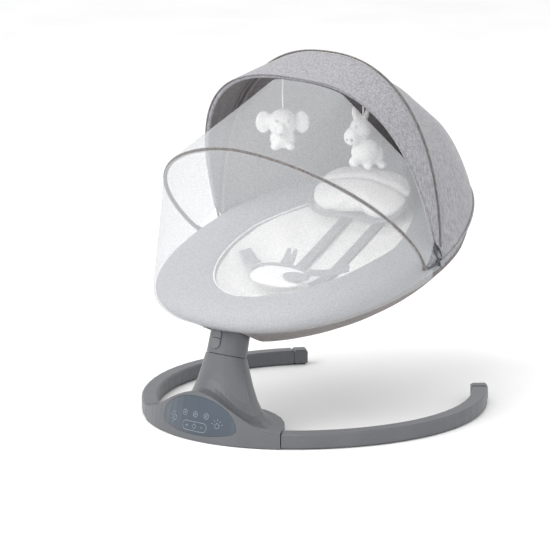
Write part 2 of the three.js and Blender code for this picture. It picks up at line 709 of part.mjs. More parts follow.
function buttonShape(grow) {
  const radius = BUTTON.halfWidth + grow;
  const straight = BUTTON.halfHeight - BUTTON.halfWidth;
  const shape = new THREE.Shape();
  shape.absarc(0, straight, radius, 0, Math.PI, false);
  shape.absarc(0, -straight, radius, Math.PI, 2 * Math.PI, false);
  return shape;
}

function buttonPrism(grow, from, to) {
  const settings = { depth: to - from, bevelEnabled: false, curveSegments: 8 };
  const made = new THREE.ExtrudeGeometry(buttonShape(grow), settings);
  return made.rotateX(Math.PI / 2).translate(0, -from, BUTTON.z);
}

function buttonHole(grow) {
  return buttonPrism(grow, NECK_RADIUS - BUTTON.depth - 3, NECK_RADIUS + 5);
}

function buildButton(neck) {
  const body = buttonPrism(0, NECK_RADIUS - BUTTON.depth + 5, NECK_RADIUS + 1.2);
  const step = box(30, 6, 2, 0, -(NECK_RADIUS + 1.2), BUTTON.z + 1);
  add(neck, "release_button", cut(body, step), "darkPlastic");
  const springEnd = BUTTON.depth + 2.4 - NECK_RADIUS;
  const spring = post(4, 0, 7, 12).rotateX(Math.PI / 2).translate(0, springEnd, BUTTON.z);
  add(neck, "button_spring", spring, "steel");
}

// The casting that stands on the collar, grips the front of the rim tube and holds both struts.
function bracket() {
  const plate = box(62, 66, 7, 0, 0, COLLAR_TOP + GAP + 3.5);
  const onCollar = toSolid(plate.applyMatrix4(neckToSeat()));
  const saddle = box(48, 19, 26, 0, -301, -6);
  const bridge = box(56, 44, 16, 0, -262, -20);
  const sockets = [-1, 1].map((side) => box(24, 24, 22, side * 36, -241, -24));
  const holes = [-1, 1].map((side) => strutRod(side, STRUT_RADIUS + 0.6, true));
  const body = joined(onCollar, saddle, bridge, ...sockets);
  const room = toSolid(post(NECK_RADIUS + 3, -40, COLLAR_TOP + GAP, 24).applyMatrix4(neckToSeat()));
  const blindEnds = box(40, 60, 60, 0, -262, -20);
  return mainBody(cut(body, rimClearance(), room, ...holes.map((hole) => cut(hole, blindEnds))));
}

// Takes a shape from the neck's leaning frame to the seat's tilted one.
function neckToSeat() {
  return new THREE.Matrix4().copy(seat.matrix).invert().multiply(neck.matrix);
}

// ---- hood, net and toys, round the hub pins ----
function bowPoint(bow, lane, angle, grow = 0) {
  const [c, s] = [Math.cos(angle), Math.abs(Math.sin(angle))];
  const out = (bow.radius + grow) * s ** (2 / bow.squareness);
  const x = (lane + grow) * Math.sign(c) * Math.abs(c) ** (2 / bow.squareness);
  return new THREE.Vector3(x, -out * Math.cos(bow.angle), out * Math.sin(bow.angle));
}

function netPoint(angle, grow = 0) {
  const [c, s] = [Math.cos(angle), Math.abs(Math.sin(angle))];
  const out = (NET_BOW.radius + grow) * s ** (2 / NET_BOW.squareness);
  const reach = HOOD_LANES.net + grow + NET_BOW.bulge * s;
  const x = reach * Math.sign(c) * Math.abs(c) ** (2 / NET_BOW.sideSquareness);
  return new THREE.Vector3(
    x,
    -NET_START.forward - out * Math.cos(NET_BOW.angle),
    -NET_START.down + out * Math.sin(NET_BOW.angle),
  );
}

const BOW_STEPS = 34;

function eye(lane) {
  const disc = pinAlongX(7, -lane - 2.3, -lane + 2.3, 0, 0, 12);
  return cut(disc, pinAlongX(3.3, -lane - 4, -lane + 4, 0, 0, 10));
}

function hoodBow(bow, lane) {
  const start = Math.asin((5 / bow.radius) ** (bow.squareness / 2));
  const points = Array.from({ length: BOW_STEPS + 1 }, (_, i) =>
    bowPoint(bow, lane, start + ((Math.PI - 2 * start) * i) / BOW_STEPS));
  const other = eye(lane).mirror([1, 0, 0]);
  return bowWithEyes(points, lane, other);
}

function bowWithEyes(points, lane, other) {
  const farHole = pinAlongX(3.3, -lane - 8, -lane + 8, 0, 0, 10);
  const nearHole = pinAlongX(3.3, lane - 8, lane + 8, 0, 0, 10);
  const hole = joined(farHole, nearHole);
  return cut(joined(rod(points, BOW_RADIUS, 6, 32), eye(lane), other), hole);
}

function netBow() {
  const lane = HOOD_LANES.net;
  const arch = Array.from({ length: BOW_STEPS + 1 }, (_, i) =>
    netPoint(0.05 + ((Math.PI - 0.1) * i) / BOW_STEPS));
  const near = [new THREE.Vector3(lane, -5, -1), new THREE.Vector3(lane, -24, -4.9)];
  const far = near.map((p) => new THREE.Vector3(-p.x, p.y, p.z)).reverse();
  return bowWithEyes([...near, ...arch, ...far], lane, eye(lane).mirror([1, 0, 0]));
}

function between(first, second, steps, angles) {
  return Array.from({ length: steps + 1 }, (_, i) =>
    angles.map((angle) => new THREE.Vector3().lerpVectors(first(angle), second(angle), i / steps)));
}

const COLUMN_COUNT = 22;

// Angles across a hoop, from one side of the hood to the other, starting some degrees above the hubs.
function columns(start) {
  const step = (180 - 2 * start) / COLUMN_COUNT;
  return Array.from({ length: COLUMN_COUNT + 1 }, (_, i) => (start + step * i) * RAD);
}

const COLUMNS = columns(3);
const SKIRT_COLUMNS = columns(7);
const REAR_RADIUS = 330;
const REAR_SLACK = 38;
// Cloth is thickened towards the line between the hubs.
const CORE = (p) => new THREE.Vector3(p.x * 0.55, 0, 0);

function frontPanel() {
  const proud = BOW_RADIUS + 1 + FABRIC;
  const rim = (bow, lane, angle, turn) => {
    const turned = { ...bow, angle: bow.angle + turn };
    return (a) => bowPoint(turned, lane, a, proud);
  };
  const low = rim(FRONT_BOW, HOOD_LANES.front, 0, -1 * RAD);
  const high = rim(MID_BOW, HOOD_LANES.front, 0, -0.6 * RAD);
  return sheetSolid(between(low, high, 3, COLUMNS), towards(CORE, FABRIC));
}

// The back of the hood swells out from the ridge and comes down round the head of the rim.
// The rear cloth hangs slack: it dips just behind the ridge and fills out again towards its hem.
function rearPanel() {
  const steps = 6;
  const rows = Array.from({ length: steps + 1 }, (_, i) => {
    const share = i / steps;
    const angle = MID_BOW.angle + 0.6 * RAD + (HEM_ANGLE - 1 * RAD - MID_BOW.angle) * share;
    const hoop = {
      angle,
      radius: REAR_RADIUS - REAR_SLACK * Math.sin(share ** 0.75 * Math.PI),
      squareness: MID_BOW.squareness + (RIM.rear - MID_BOW.squareness) * share,
    };
    return COLUMNS.map((a) => bowPoint(hoop, HOOD_LANES.front + 5 + 3 * share, a));
  });
  return sheetSolid(rows, towards(CORE, FABRIC));
}

function netUpper() {
  const low = (a) => netPoint(a, NET_PROUD).add(new THREE.Vector3(0, 0, 2));
  const edge = { ...FRONT_BOW, angle: FRONT_BOW.angle - 1.6 * RAD };
  const high = (a) => bowPoint(edge, HOOD_LANES.front + 2, a, 3);
  return sheetSolid(between(low, high, 3, COLUMNS), towards(CORE, NET_FABRIC));
}

// From the net's bow down over the outside of the rim's foot end to a hem under the rim.
function netSkirt() {
  const tilt = new THREE.Euler(SEAT_TILT, 0, 0);
  const pivot = new THREE.Vector3(0, 0, TUBE_DROP);
  const rimAt = (a, u, h) => seatPoint(u, -a, h).sub(pivot).applyEuler(tilt);
  const low = (a) => netPoint(a, NET_PROUD).add(new THREE.Vector3(0, 0, -2));
  const rows = between(low, (a) => rimAt(a, 2.075, 4), 3, SKIRT_COLUMNS);
  rows.push(SKIRT_COLUMNS.map((a) => rimAt(a, 2.075, -14)));
  rows.push(SKIRT_COLUMNS.map((a) => rimAt(a, 2.02, -31)));
  return sheetSolid(rows, towards((p) => new THREE.Vector3(p.x * 0.8, p.y * 0.3, p.z), NET_FABRIC));
}

function ribbon(x, top, bottom) {
  return box(5, 1.2, top - bottom, x, 0, (top + bottom) / 2);
}

function elephant() {
  const head = ballAt(31, 26, 32, 0, 0, 0);
  const ears = [-1, 1].map((side) => ballAt(20, 7, 24, side * 42, 4, 2));
  const trunk = ballAt(11, 12, 20, 2, -22, -12);
  const body = ballAt(26, 24, 18, 2, 0, -32);
  return joined(head, ...ears, trunk, body, ballAt(14, 8, 12, 26, 2, 0), ballAt(14, 8, 12, -26, 2, 0));
}

function donkey() {
  const body = ballAt(28, 24, 30, 4, 0, -20);
  const head = ballAt(22, 20, 20, -8, -4, 22);
  const muzzle = ballAt(15, 14, 13, -20, -14, 10);
  const ears = [-1, 1].map((side) => ballAt(5, 5, 16, side * 14 - 6, -2, 43));
  const legs = [[-16, -44], [20, -44]].map(([x, z]) => ballAt(12, 14, 9, x, -6, z));
  return joined(body, head, muzzle, ...ears, ...legs);
}

function ballAt(rx, ry, rz, x, y, z) {
  return new THREE.SphereGeometry(1, 9, 6).scale(rx, ry, rz).translate(x, y, z);
}

function buildHood(hood) {
  add(hood, "mid_bow", hoodBow(MID_BOW, HOOD_LANES.mid), "darkPlastic");
  add(hood, "front_bow", hoodBow(FRONT_BOW, HOOD_LANES.front), "darkPlastic");
  add(hood, "net_bow", netBow(), "darkPlastic");
  add(hood, "hood_front", frontPanel(), "heather");
  add(hood, "hood_rear", rearPanel(), "heather");
  add(hood, "net_upper", netUpper(), "net");
  add(hood, "net_skirt", netSkirt(), "net");
}

function buildToys(hood, pivotZ) {
  const bowHeight = (x) => {
    const points = COLUMNS.map((a) => bowPoint(MID_BOW, HOOD_LANES.mid, a));
    return points.reduce((best, p) => (Math.abs(p.x - x) < Math.abs(best.x - x) ? p : best)).z;
  };
  for (const [name, make, headTop] of [["elephant", elephant, 32], ["donkey", donkey, 44]]) {
    const x = TOY_X[name];
    const z = TOY_Z[name] - pivotZ;
    add(hood, `${name}_toy`, toGeometry(make()).rotateZ(TOY_TURN).translate(x, 0, z), "plush");
    add(hood, `${name}_ribbon`, ribbon(x, bowHeight(x) - 6, z + headTop + GAP), "strap");
  }
}

// ---- assembly ----
const swing = new THREE.Group();
const object = new THREE.Group();
object.position.y = ORIGIN_SHIFT_Y;
swing.add(object);
buildBase(object);

const neck = new THREE.Group();
neck.position.set(0, NECK_Y, NECK_Z);
neck.rotation.x = -LEAN;
object.add(neck);
buildSwingHead(neck);
buildCollar(neck);
buildButton(neck);

const seat = new THREE.Group();
seat.position.set(0, SEAT_Y, SEAT_Z);
seat.rotation.x = SEAT_TILT;
object.add(seat);
neck.updateMatrix();
seat.updateMatrix();
buildSeat(seat);

const hood = new THREE.Group();
hood.position.set(0, SEAT_Y - TUBE_DROP * Math.sin(SEAT_TILT), SEAT_Z + TUBE_DROP * Math.cos(SEAT_TILT));
object.add(hood);
buildHood(hood);
buildToys(hood, hood.position.z);

export default swing;
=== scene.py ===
"""Baby swing: cloth, plush, trim, materials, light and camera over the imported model, in metres."""
import math
import bmesh
import bpy
from mathutils import Euler, Matrix, Vector, noise
from mathutils.bvhtree import BVHTree


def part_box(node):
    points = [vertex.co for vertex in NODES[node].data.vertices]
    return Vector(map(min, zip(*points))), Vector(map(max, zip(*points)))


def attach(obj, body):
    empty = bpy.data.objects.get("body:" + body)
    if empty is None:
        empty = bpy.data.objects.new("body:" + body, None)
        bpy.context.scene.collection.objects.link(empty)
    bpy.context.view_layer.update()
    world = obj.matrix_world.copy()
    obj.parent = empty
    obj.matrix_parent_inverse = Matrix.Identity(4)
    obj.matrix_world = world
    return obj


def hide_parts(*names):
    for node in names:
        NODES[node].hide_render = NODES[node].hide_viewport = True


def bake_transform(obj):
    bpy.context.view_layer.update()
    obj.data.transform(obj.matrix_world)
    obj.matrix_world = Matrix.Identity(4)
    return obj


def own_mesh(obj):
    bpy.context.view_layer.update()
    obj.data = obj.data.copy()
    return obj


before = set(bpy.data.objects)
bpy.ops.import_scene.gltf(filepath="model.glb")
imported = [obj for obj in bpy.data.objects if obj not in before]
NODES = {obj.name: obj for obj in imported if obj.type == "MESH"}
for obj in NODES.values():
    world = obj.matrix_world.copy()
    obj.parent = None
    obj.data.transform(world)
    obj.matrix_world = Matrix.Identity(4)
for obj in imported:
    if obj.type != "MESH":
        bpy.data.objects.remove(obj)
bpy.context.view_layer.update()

MM = 0.001
RAD = math.pi / 180

# ---- the model's driving dimensions, in millimetres, as the frame has them ----
# The seat has coordinates of its own: x to its left, y towards its head end and h square to its tilted rim.
SHIFT_Y = 11.3
SEAT_Y, SEAT_Z, SEAT_TILT = 2.5, 282, 15.7 * RAD
RIM = dict(width=240, length=324, rear=1.63, front=2.39, shift=0)
OPENING = dict(width=155, length=235, rear=1.41, front=1.95, shift=-9)
LINER_POLE, LINER_DEPTH = -70, 57
LINER_EDGE, LINER_INSET = 12, 2
BOWL_POWER, BOWL_HEAD, BOWL_FOOT = 2.5, -1.3, 0.8
SLING_DEPTH, SLING_EDGE = 88, 28
COLLAR_Y, COLLAR_WIDE, COLLAR_LONG = -268, 46, 44
TUBE_DROP = -3
HUB_Y = SEAT_Y - TUBE_DROP * math.sin(SEAT_TILT)
HUB_Z = SEAT_Z + TUBE_DROP * math.cos(SEAT_TILT)
LANES = dict(mid=235, front=240.4, net=245.8)
BOW_RADIUS = 2.5
MID_BOW = dict(angle=89.8 * RAD, radius=326, square=2.34)
FRONT_BOW = dict(angle=72.5 * RAD, radius=313, square=2.82)
NET_BOW = dict(angle=46.1 * RAD, radius=282, square=1.81, side=1.72, bulge=96)
NET_START = (41.8, 8.6)
NET_PROUD = 3.4
HEM_ANGLE = math.pi - SEAT_TILT
REAR_RADIUS, REAR_SLACK = 331, 38
NECK, NECK_LEAN = (0, -260, 130), 16 * RAD
BUTTON_HEIGHT, BUTTON_FACE = 25, -35.4
BUTTON_STEP_HALF, BUTTON_CURVE = 7, 0.02
CAMERA_PLACE = (3516.1, -4324.3, 1458.5)
CAMERA_TURN = (77.5 * RAD, 0, 40 * RAD)
CAMERA_LENS = 216.7


def place(x, y, z):
    return Vector((x * MM, (y + SHIFT_Y) * MM, z * MM))


def full_turn(count):
    return [2 * math.pi * i / count for i in range(count)]


# ---- shader building ----
def new_material(name, color, rough, metal=0.0, **more):
    material = bpy.data.materials.new(name)
    material.use_nodes = True
    shader = material.node_tree.nodes["Principled BSDF"]
    shader.inputs["Base Color"].default_value = (*color, 1)
    shader.inputs["Roughness"].default_value = rough
    shader.inputs["Metallic"].default_value = metal
    for socket, value in more.items():
        shader.inputs[socket.replace("_", " ")].default_value = value
    return material, shader


def rgb(code):
    """An sRGB hex colour as linear light."""
    parts = [int(code[i:i + 2], 16) / 255 for i in (0, 2, 4)]
    return [c / 12.92 if c <= 0.04045 else ((c + 0.055) / 1.055) ** 2.4 for c in parts]


def texture(material, kind, scale, stretch=(1, 1, 1), **settings):
    """A texture node in object space, in which one unit is a metre."""
    nodes, links = material.node_tree.nodes, material.node_tree.links
    where = nodes.new("ShaderNodeTexCoord")
    mapping = nodes.new("ShaderNodeMapping")
    mapping.inputs["Scale"].default_value = stretch
    links.new(where.outputs["Object"], mapping.inputs["Vector"])
    made = nodes.new(kind)
    made.inputs["Scale"].default_value = scale
    for key, value in settings.items():
        if key in made.inputs:
            made.inputs[key].default_value = value
        else:
            setattr(made, key, value)
    links.new(mapping.outputs["Vector"], made.inputs["Vector"])
    return made.outputs["Fac"] if "Fac" in made.outputs else made.outputs["Distance"]


def colour_mix(material, factor, first, second, low=0.35, high=0.65):
    nodes, links = material.node_tree.nodes, material.node_tree.links
    ramp = nodes.new("ShaderNodeValToRGB")
    ramp.color_ramp.elements[0].position = low
    ramp.color_ramp.elements[1].position = high
    ramp.color_ramp.elements[0].color = (*first, 1)
    ramp.color_ramp.elements[1].color = (*second, 1)
    links.new(factor, ramp.inputs["Fac"])
    return ramp.outputs["Color"]


def multiply(material, first, second, amount):
    nodes, links = material.node_tree.nodes, material.node_tree.links
    mix = nodes.new("ShaderNodeMix")
    mix.data_type = "RGBA"
    mix.blend_type = "MULTIPLY"
    mix.inputs["Factor"].default_value = amount
    links.new(first, mix.inputs["A"])
    links.new(second, mix.inputs["B"])
    return mix.outputs["Result"]


def bump(material, shader, height, strength, distance):
    nodes, links = material.node_tree.nodes, material.node_tree.links
    made = nodes.new("ShaderNodeBump")
    made.inputs["Strength"].default_value = strength
    made.inputs["Distance"].default_value = distance
    links.new(height, made.inputs["Height"])
    previous = shader.inputs["Normal"].links
    if previous:
        links.new(previous[0].from_socket, made.inputs["Normal"])
    links.new(made.outputs["Normal"], shader.inputs["Normal"])


def tint(material, shader, factor, first, second, low=0.35, high=0.65):
    links = material.node_tree.links
    links.new(colour_mix(material, factor, first, second, low, high), shader.inputs["Base Color"])


def moulded_plastic(name, code, rough, grain=1500, depth=0.25):
    """Spark-eroded moulded plastic: a fine grain, with faint clouds of tone."""
    base = rgb(code)
    material, shader = new_material(name, base, rough)
    clouds = texture(material, "ShaderNodeTexNoise", 14, Detail=3)
    tint(material, shader, clouds, [c * 0.94 for c in base], [c * 1.06 for c in base])
    bump(material, shader, texture(material, "ShaderNodeTexNoise", grain, Detail=2), depth, 0.0002)
    return material


def melange(name, light, dark, sheen=0.15):
    """Heathered knit: pale and dark threads in short slubs over a fine weave."""
    material, shader = new_material(name, rgb(light), 0.95, Sheen_Weight=sheen, Sheen_Roughness=0.5)
    links = material.node_tree.links
    slubs = texture(material, "ShaderNodeTexNoise", 260, (1, 1, 0.35), Detail=4, Roughness=0.7)
    threads = texture(material, "ShaderNodeTexNoise", 900, (0.4, 0.4, 1), Detail=2, Roughness=0.6)
    coarse = colour_mix(material, slubs, rgb(dark), rgb(light), 0.36, 0.62)
    fine = colour_mix(material, threads, (0.72, 0.72, 0.72), (1, 1, 1), 0.35, 0.6)
    links.new(multiply(material, coarse, fine, 0.8), shader.inputs["Base Color"])
    bump(material, shader, threads, 0.35, 0.0004)
    bump(material, shader, texture(material, "ShaderNodeTexNoise", 60, Detail=3), 0.25, 0.0015)
    return material


def soft_knit(name, code, sheen=0.2, scale=700):
    base = rgb(code)
    material, shader = new_material(name, base, 0.95, Sheen_Weight=sheen, Sheen_Roughness=0.4)
    clouds = texture(material, "ShaderNodeTexNoise", 22, Detail=4)
    tint(material, shader, clouds, [c * 0.93 for c in base], base, 0.3, 0.7)
    bump(material, shader, texture(material, "ShaderNodeTexVoronoi", scale), 0.3, 0.0004)
    bump(material, shader, texture(material, "ShaderNodeTexNoise", 45, Detail=4), 0.3, 0.002)
    return material


def webbing(name, code):
    base = rgb(code)
    material, shader = new_material(name, base, 0.85, Sheen_Weight=0.1)
    ribs = texture(material, "ShaderNodeTexWave", 260, (0.3, 1, 1), bands_direction="Y", Distortion=0.6)
    tint(material, shader, ribs, [c * 0.85 for c in base], base, 0.2, 0.8)
    bump(material, shader, ribs, 0.4, 0.0004)
    return material


def net_mesh():
    material, shader = new_material("net_mesh", rgb("cfd0d2"), 0.9, Alpha=0.42)
    cells = texture(material, "ShaderNodeTexVoronoi", 420)
    tint(material, shader, cells, rgb("d6d7d9"), rgb("c4c6c9"), 0.2, 0.7)
    bump(material, shader, cells, 0.2, 0.0003)
    return material


def plush():
    base = rgb("f3f2f0")
    material, shader = new_material("plush", base, 1.0, Sheen_Weight=0.5, Sheen_Roughness=0.6)
    pile = texture(material, "ShaderNodeTexNoise", 650, Detail=5, Roughness=0.75)
    tint(material, shader, pile, [c * 0.88 for c in base], base, 0.3, 0.6)
    bump(material, shader, pile, 0.8, 0.0012)
    return material


def panel_gloss():
    """A smoked gloss panel, with faint clouds of tone."""
    material, shader = new_material("panel_gloss", rgb("3b444e"), 0.2, Coat_Weight=0.35, Coat_Roughness=0.08)
    clouds = texture(material, "ShaderNodeTexNoise", 9, Detail=2)
    tint(material, shader, clouds, rgb("38414b"), rgb("414b56"), 0.3, 0.7)
    bump(material, shader, texture(material, "ShaderNodeTexNoise", 30, Detail=1), 0.04, 0.0005)
    return material


def turned_metal(name, code, rough):
    base = rgb(code)
    material, shader = new_material(name, base, rough, 1.0)
    lines = texture(material, "ShaderNodeTexNoise", 300, (1, 1, 12), Detail=3)
    tint(material, shader, lines, [c * 0.85 for c in base], base)
    bump(material, shader, lines, 0.15, 0.0001)
    return material


LOOKS = {
    "base_plastic": moulded_plastic("base_plastic", "5c5e62", 0.42),
    "dark_plastic": moulded_plastic("dark_plastic", "4f5154", 0.5),
    "button_plastic": moulded_plastic("button_plastic", "6b6d71", 0.22, 900, 0.15),
    "panel_gloss": panel_gloss(),
    "foot_rubber": moulded_plastic("foot_rubber", "2a2a2b", 0.9, 700, 0.6),
    "tube_aluminium": turned_metal("tube_aluminium", "b9bcc0", 0.35),
    "steel": turned_metal("steel", "9a9da1", 0.3),
    "coil_copper": turned_metal("coil_copper", "b5713f", 0.4),
    "circuit_board": moulded_plastic("circuit_board", "2f6b46", 0.6, 300, 0.3),
    "heather_fabric": melange("heather_fabric", "a8a7ab", "86858a"),
    "rim_fabric": melange("rim_fabric", "a1a2a6", "86888d"),
    "underside_fabric": melange("underside_fabric", "857f7e", "655f5d"),
    "lining_fabric": melange("lining_fabric", "9a9698", "858083"),
    "liner_fabric": soft_knit("liner_fabric", "f6f5f3"),
    "strap_webbing": webbing("strap_webbing", "9a9c9e"),
    "bow_sleeve": melange("bow_sleeve", "7d7978", "5f5b59"),
    "net_mesh": net_mesh(),
    "toy_plush": plush(),
    "stitching": soft_knit("stitching", "9c9c9f", 0.1, 1200),
    "panel_marks": moulded_plastic("panel_marks", "8f9ba6", 0.4, 2000, 0.1),
}


# ---- mesh building ----
def piece(name, points, faces, look):
    mesh = bpy.data.meshes.new(name)
    mesh.from_pydata([tuple(p) for p in points], [], faces)
    mesh.validate()
    made = bpy.data.objects.new(name, mesh)
    bpy.context.scene.collection.objects.link(made)
    mesh.materials.append(LOOKS[look])
    smooth(made)
    return made


def smooth(made, angle=None):
    data = made.data
    data.polygons.foreach_set("use_smooth", [True] * len(data.polygons))
    if angle is not None:
        data.set_sharp_from_angle(angle=angle)
    data.update()


def grid(name, rows, look, wrap=False):
    """A surface through rows of points; wrap closes each row on itself."""
    count = len(rows[0])
    across = count if wrap else count - 1
    faces = []
    for i in range(len(rows) - 1):
        here, below = i * count, (i + 1) * count
        for j in range(across):
            k = (j + 1) % count
            faces.append((here + j, here + k, below + k, below + j))
    return piece(name, [p for row in rows for p in row], faces, look)


def declare_sheet(rows, wrap=False):
    """Steps through a surface's rows in pairs, and records nothing about the cloth."""
    for upper, lower in zip(rows, rows[1:]):
        if wrap:
            upper, lower = upper + upper[:1], lower + lower[:1]


def close_floor(made, rows, facing_up=False):
    """Closes a bowl's last ring with one face; facing_up turns every face to look out of the bowl."""
    sides = len(rows[0])
    first = (len(rows) - 1) * sides
    mesh = bmesh.new()
    mesh.from_mesh(made.data)
    mesh.verts.ensure_lookup_table()
    mesh.faces.new([mesh.verts[first + j] for j in range(sides)])
    bmesh.ops.recalc_face_normals(mesh, faces=mesh.faces)
    if facing_up and sum(face.normal.z for face in mesh.faces) < 0:
        bmesh.ops.reverse_faces(mesh, faces=mesh.faces)
    mesh.to_mesh(made.data)
    mesh.free()


def apply_modifiers(made):
    bpy.context.view_layer.update()
    graph = bpy.context.evaluated_depsgraph_get()
    mesh = bpy.data.meshes.new_from_object(made.evaluated_get(graph), depsgraph=graph)
    made.modifiers.clear()
    made.data = mesh
    return made


def thicken(made, thickness, offset=-1, levels=1, wrinkle=None):
    """Gives a surface its wrinkles, then its thickness in millimetres, then a rounder mesh."""
    if wrinkle:
        displace(made, wrinkle)
    solid = made.modifiers.new("thickness", "SOLIDIFY")
    solid.thickness = thickness * MM
    solid.offset = offset
    if levels:
        made.modifiers.new("soft", "SUBSURF").levels = levels
    return apply_modifiers(made)


def tube(name, points, radius, look, closed=False, sides=3):
    """A round cord or wire through points, as a mesh."""
    curve = bpy.data.curves.new(name, "CURVE")
    curve.dimensions = "3D"
    curve.bevel_depth = radius * MM
    curve.bevel_resolution = sides
    curve.use_fill_caps = True
    spline = curve.splines.new("POLY")
    spline.points.add(len(points) - 1)
    for knot, point in zip(spline.points, points):
        knot.co = (*point, 1)
    spline.use_cyclic_u = closed
    made = bpy.data.objects.new(name, curve)
    bpy.context.scene.collection.objects.link(made)
    bpy.context.view_layer.update()
    mesh = bpy.data.meshes.new_from_object(made.evaluated_get(bpy.context.evaluated_depsgraph_get()))
    bpy.data.objects.remove(made)
    made = bpy.data.objects.new(name, mesh)
    bpy.context.scene.collection.objects.link(made)
    mesh.materials.clear()
    mesh.materials.append(LOOKS[look])
    smooth(made)
    return made


def join(name, parts):
    """Several meshes as one piece, each keeping its material."""
    bpy.ops.object.select_all(action="DESELECT")
    for part in parts:
        part.select_set(True)
    bpy.context.view_layer.objects.active = parts[0]
    bpy.ops.object.join()
    parts[0].name = name
    return parts[0]


def puff(made, voxel, pressure, cap, frames=20):
    """Blows a closed cushion up with cloth, and holds each point within cap millimetres of where it began."""
    remesh = made.modifiers.new("even", "REMESH")
    remesh.mode = "VOXEL"
    remesh.voxel_size = voxel * MM
    remesh.use_smooth_shade = True
    apply_modifiers(made)
    rest = [v.co.copy() for v in made.data.vertices]
    cloth = made.modifiers.new("cloth", "CLOTH")
    cloth.settings.use_pressure = True
    cloth.settings.uniform_pressure_force = pressure
    cloth.settings.effector_weights.gravity = 0
    cloth.settings.quality = 5
    cloth.point_cache.frame_end = frames
    for step in range(1, frames + 1):
        bpy.context.scene.frame_set(step)
    apply_modifiers(made)
    bpy.context.scene.frame_set(1)
    for vertex, start in zip(made.data.vertices, rest):
        move = vertex.co - start
        if move.length > cap * MM:
            vertex.co = start + move * (cap * MM / move.length)
    made.modifiers.new("soft", "SUBSURF").levels = 1
    apply_modifiers(made)
    smooth(made)
    return made


def ripple(point, size, scale, seed=0.0):
    """A soft, repeatable unevenness in millimetres at a point."""
    return size * noise.noise(point * (1 / (scale * MM)) + Vector((seed, seed, seed)))


def displace(made, amount):
    """Moves each point along its normal by amount(point) millimetres."""
    normals = [v.normal.copy() for v in made.data.vertices]
    for vertex, normal in zip(made.data.vertices, normals):
        vertex.co += normal * (amount(vertex.co) * MM)
    made.data.update()
    return made


def fan(made):
    """Bakes the cloth's placement into its mesh, and moves no point."""
    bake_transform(made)


# ---- the seat's and the hood's own coordinates ----
def on_seat(x, y, h):
    c, s = math.cos(SEAT_TILT), math.sin(SEAT_TILT)
    return place(x, SEAT_Y + y * c - h * s, SEAT_Z + y * s + h * c)


def outline(shape, angle):
    c, s = math.cos(angle), math.sin(angle)
    power = 2 / (shape["front"] if s < 0 else shape["rear"])
    x = shape["width"] * math.copysign(abs(c) ** power, c)
    return x, shape["shift"] + shape["length"] * math.copysign(abs(s) ** power, s)


def seat_xy(u, angle, pole=None):
    """u is 0 at the pole, 1 on the opening and 2 on the rim's outer edge."""
    opening = outline(OPENING, angle)
    start = (0, OPENING["shift"] if pole is None else pole) if u < 1 else opening
    end = opening if u < 1 else outline(RIM, angle)
    t = u if u < 1 else u - 1
    return start[0] + (end[0] - start[0]) * t, start[1] + (end[1] - start[1]) * t


def liner_height(u, angle):
    """The bowl's height from its pole out to the opening; it falls away faster towards the foot end."""
    s = math.sin(angle)
    power = BOWL_POWER + BOWL_HEAD * max(s, 0) + BOWL_FOOT * max(-s, 0)
    return LINER_EDGE - LINER_DEPTH * (1 - u ** power)


def liner_top(x, y):
    """The liner's height at a place on the seat, found on the line out from its deepest point."""
    away = math.atan2(y - LINER_POLE, x)
    angle = away
    for _ in range(12):
        ox, oy = outline(OPENING, angle)
        angle += away - math.atan2(oy - LINER_POLE, ox)
    ox, oy = outline(OPENING, angle)
    u = math.hypot(x, y - LINER_POLE) / math.hypot(ox, oy - LINER_POLE)
    return liner_height(min(u, 1), angle) - LINER_INSET


def hub_place(x, y, z):
    return place(x, HUB_Y + y, HUB_Z + z)


def bow_point(bow, lane, angle, grow=0.0, turn=0.0):
    c, s = math.cos(angle), abs(math.sin(angle))
    out = (bow["radius"] + grow) * s ** (2 / bow["square"])
    x = (lane + grow) * math.copysign(abs(c) ** (2 / bow["square"]), c)
    lift = bow["angle"] + turn
    return hub_place(x, -out * math.cos(lift), out * math.sin(lift))


def net_point(angle, grow=0.0, lift=0.0):
    c, s = math.cos(angle), abs(math.sin(angle))
    out = (NET_BOW["radius"] + grow) * s ** (2 / NET_BOW["square"])
    x = (LANES["net"] + grow + NET_BOW["bulge"] * s) * math.copysign(abs(c) ** (2 / NET_BOW["side"]), c)
    y = -NET_START[0] - out * math.cos(NET_BOW["angle"])
    return hub_place(x, y, -NET_START[1] + out * math.sin(NET_BOW["angle"]) + lift)


def columns(start, count):
    return [(start + (180 - 2 * start) * i / count) * RAD for i in range(count + 1)]


def between(first, second, steps, angles):
    return [[first(a).lerp(second(a), i / steps) for a in angles] for i in range(steps + 1)]


# ---- soft goods of the seat ----
RIM_PROFILE = [
    (1.9, -17), (1.94, -17.5), (1.975, -14.5), (1.995, -8), (2.004, -1), (2.0, 6), (1.97, 13), (1.9, 18.5),
    (1.78, 21.5), (1.6, 22), (1.4, 20.5), (1.2, 17.5), (1.07, 14.5), (1.0, 11), (0.975, 5),
]


TUCK_IN, TUCK_UP, TUCK_SPREAD = 0.27, 0.25, 1.5
GATHERS = 88
GATHER_TOP, GATHER_DEPTH = -5, 12
HEM_HEIGHT = -17.5


def tucked(u, h, angle):
    """The band's lower side, which is drawn in under the rim at the foot end."""
    foot = max(0.0, -math.sin(angle)) ** TUCK_SPREAD
    below = max(0.0, -h) / SLING_EDGE
    return u - TUCK_IN * foot * below, h * (1 - TUCK_UP * foot * below)


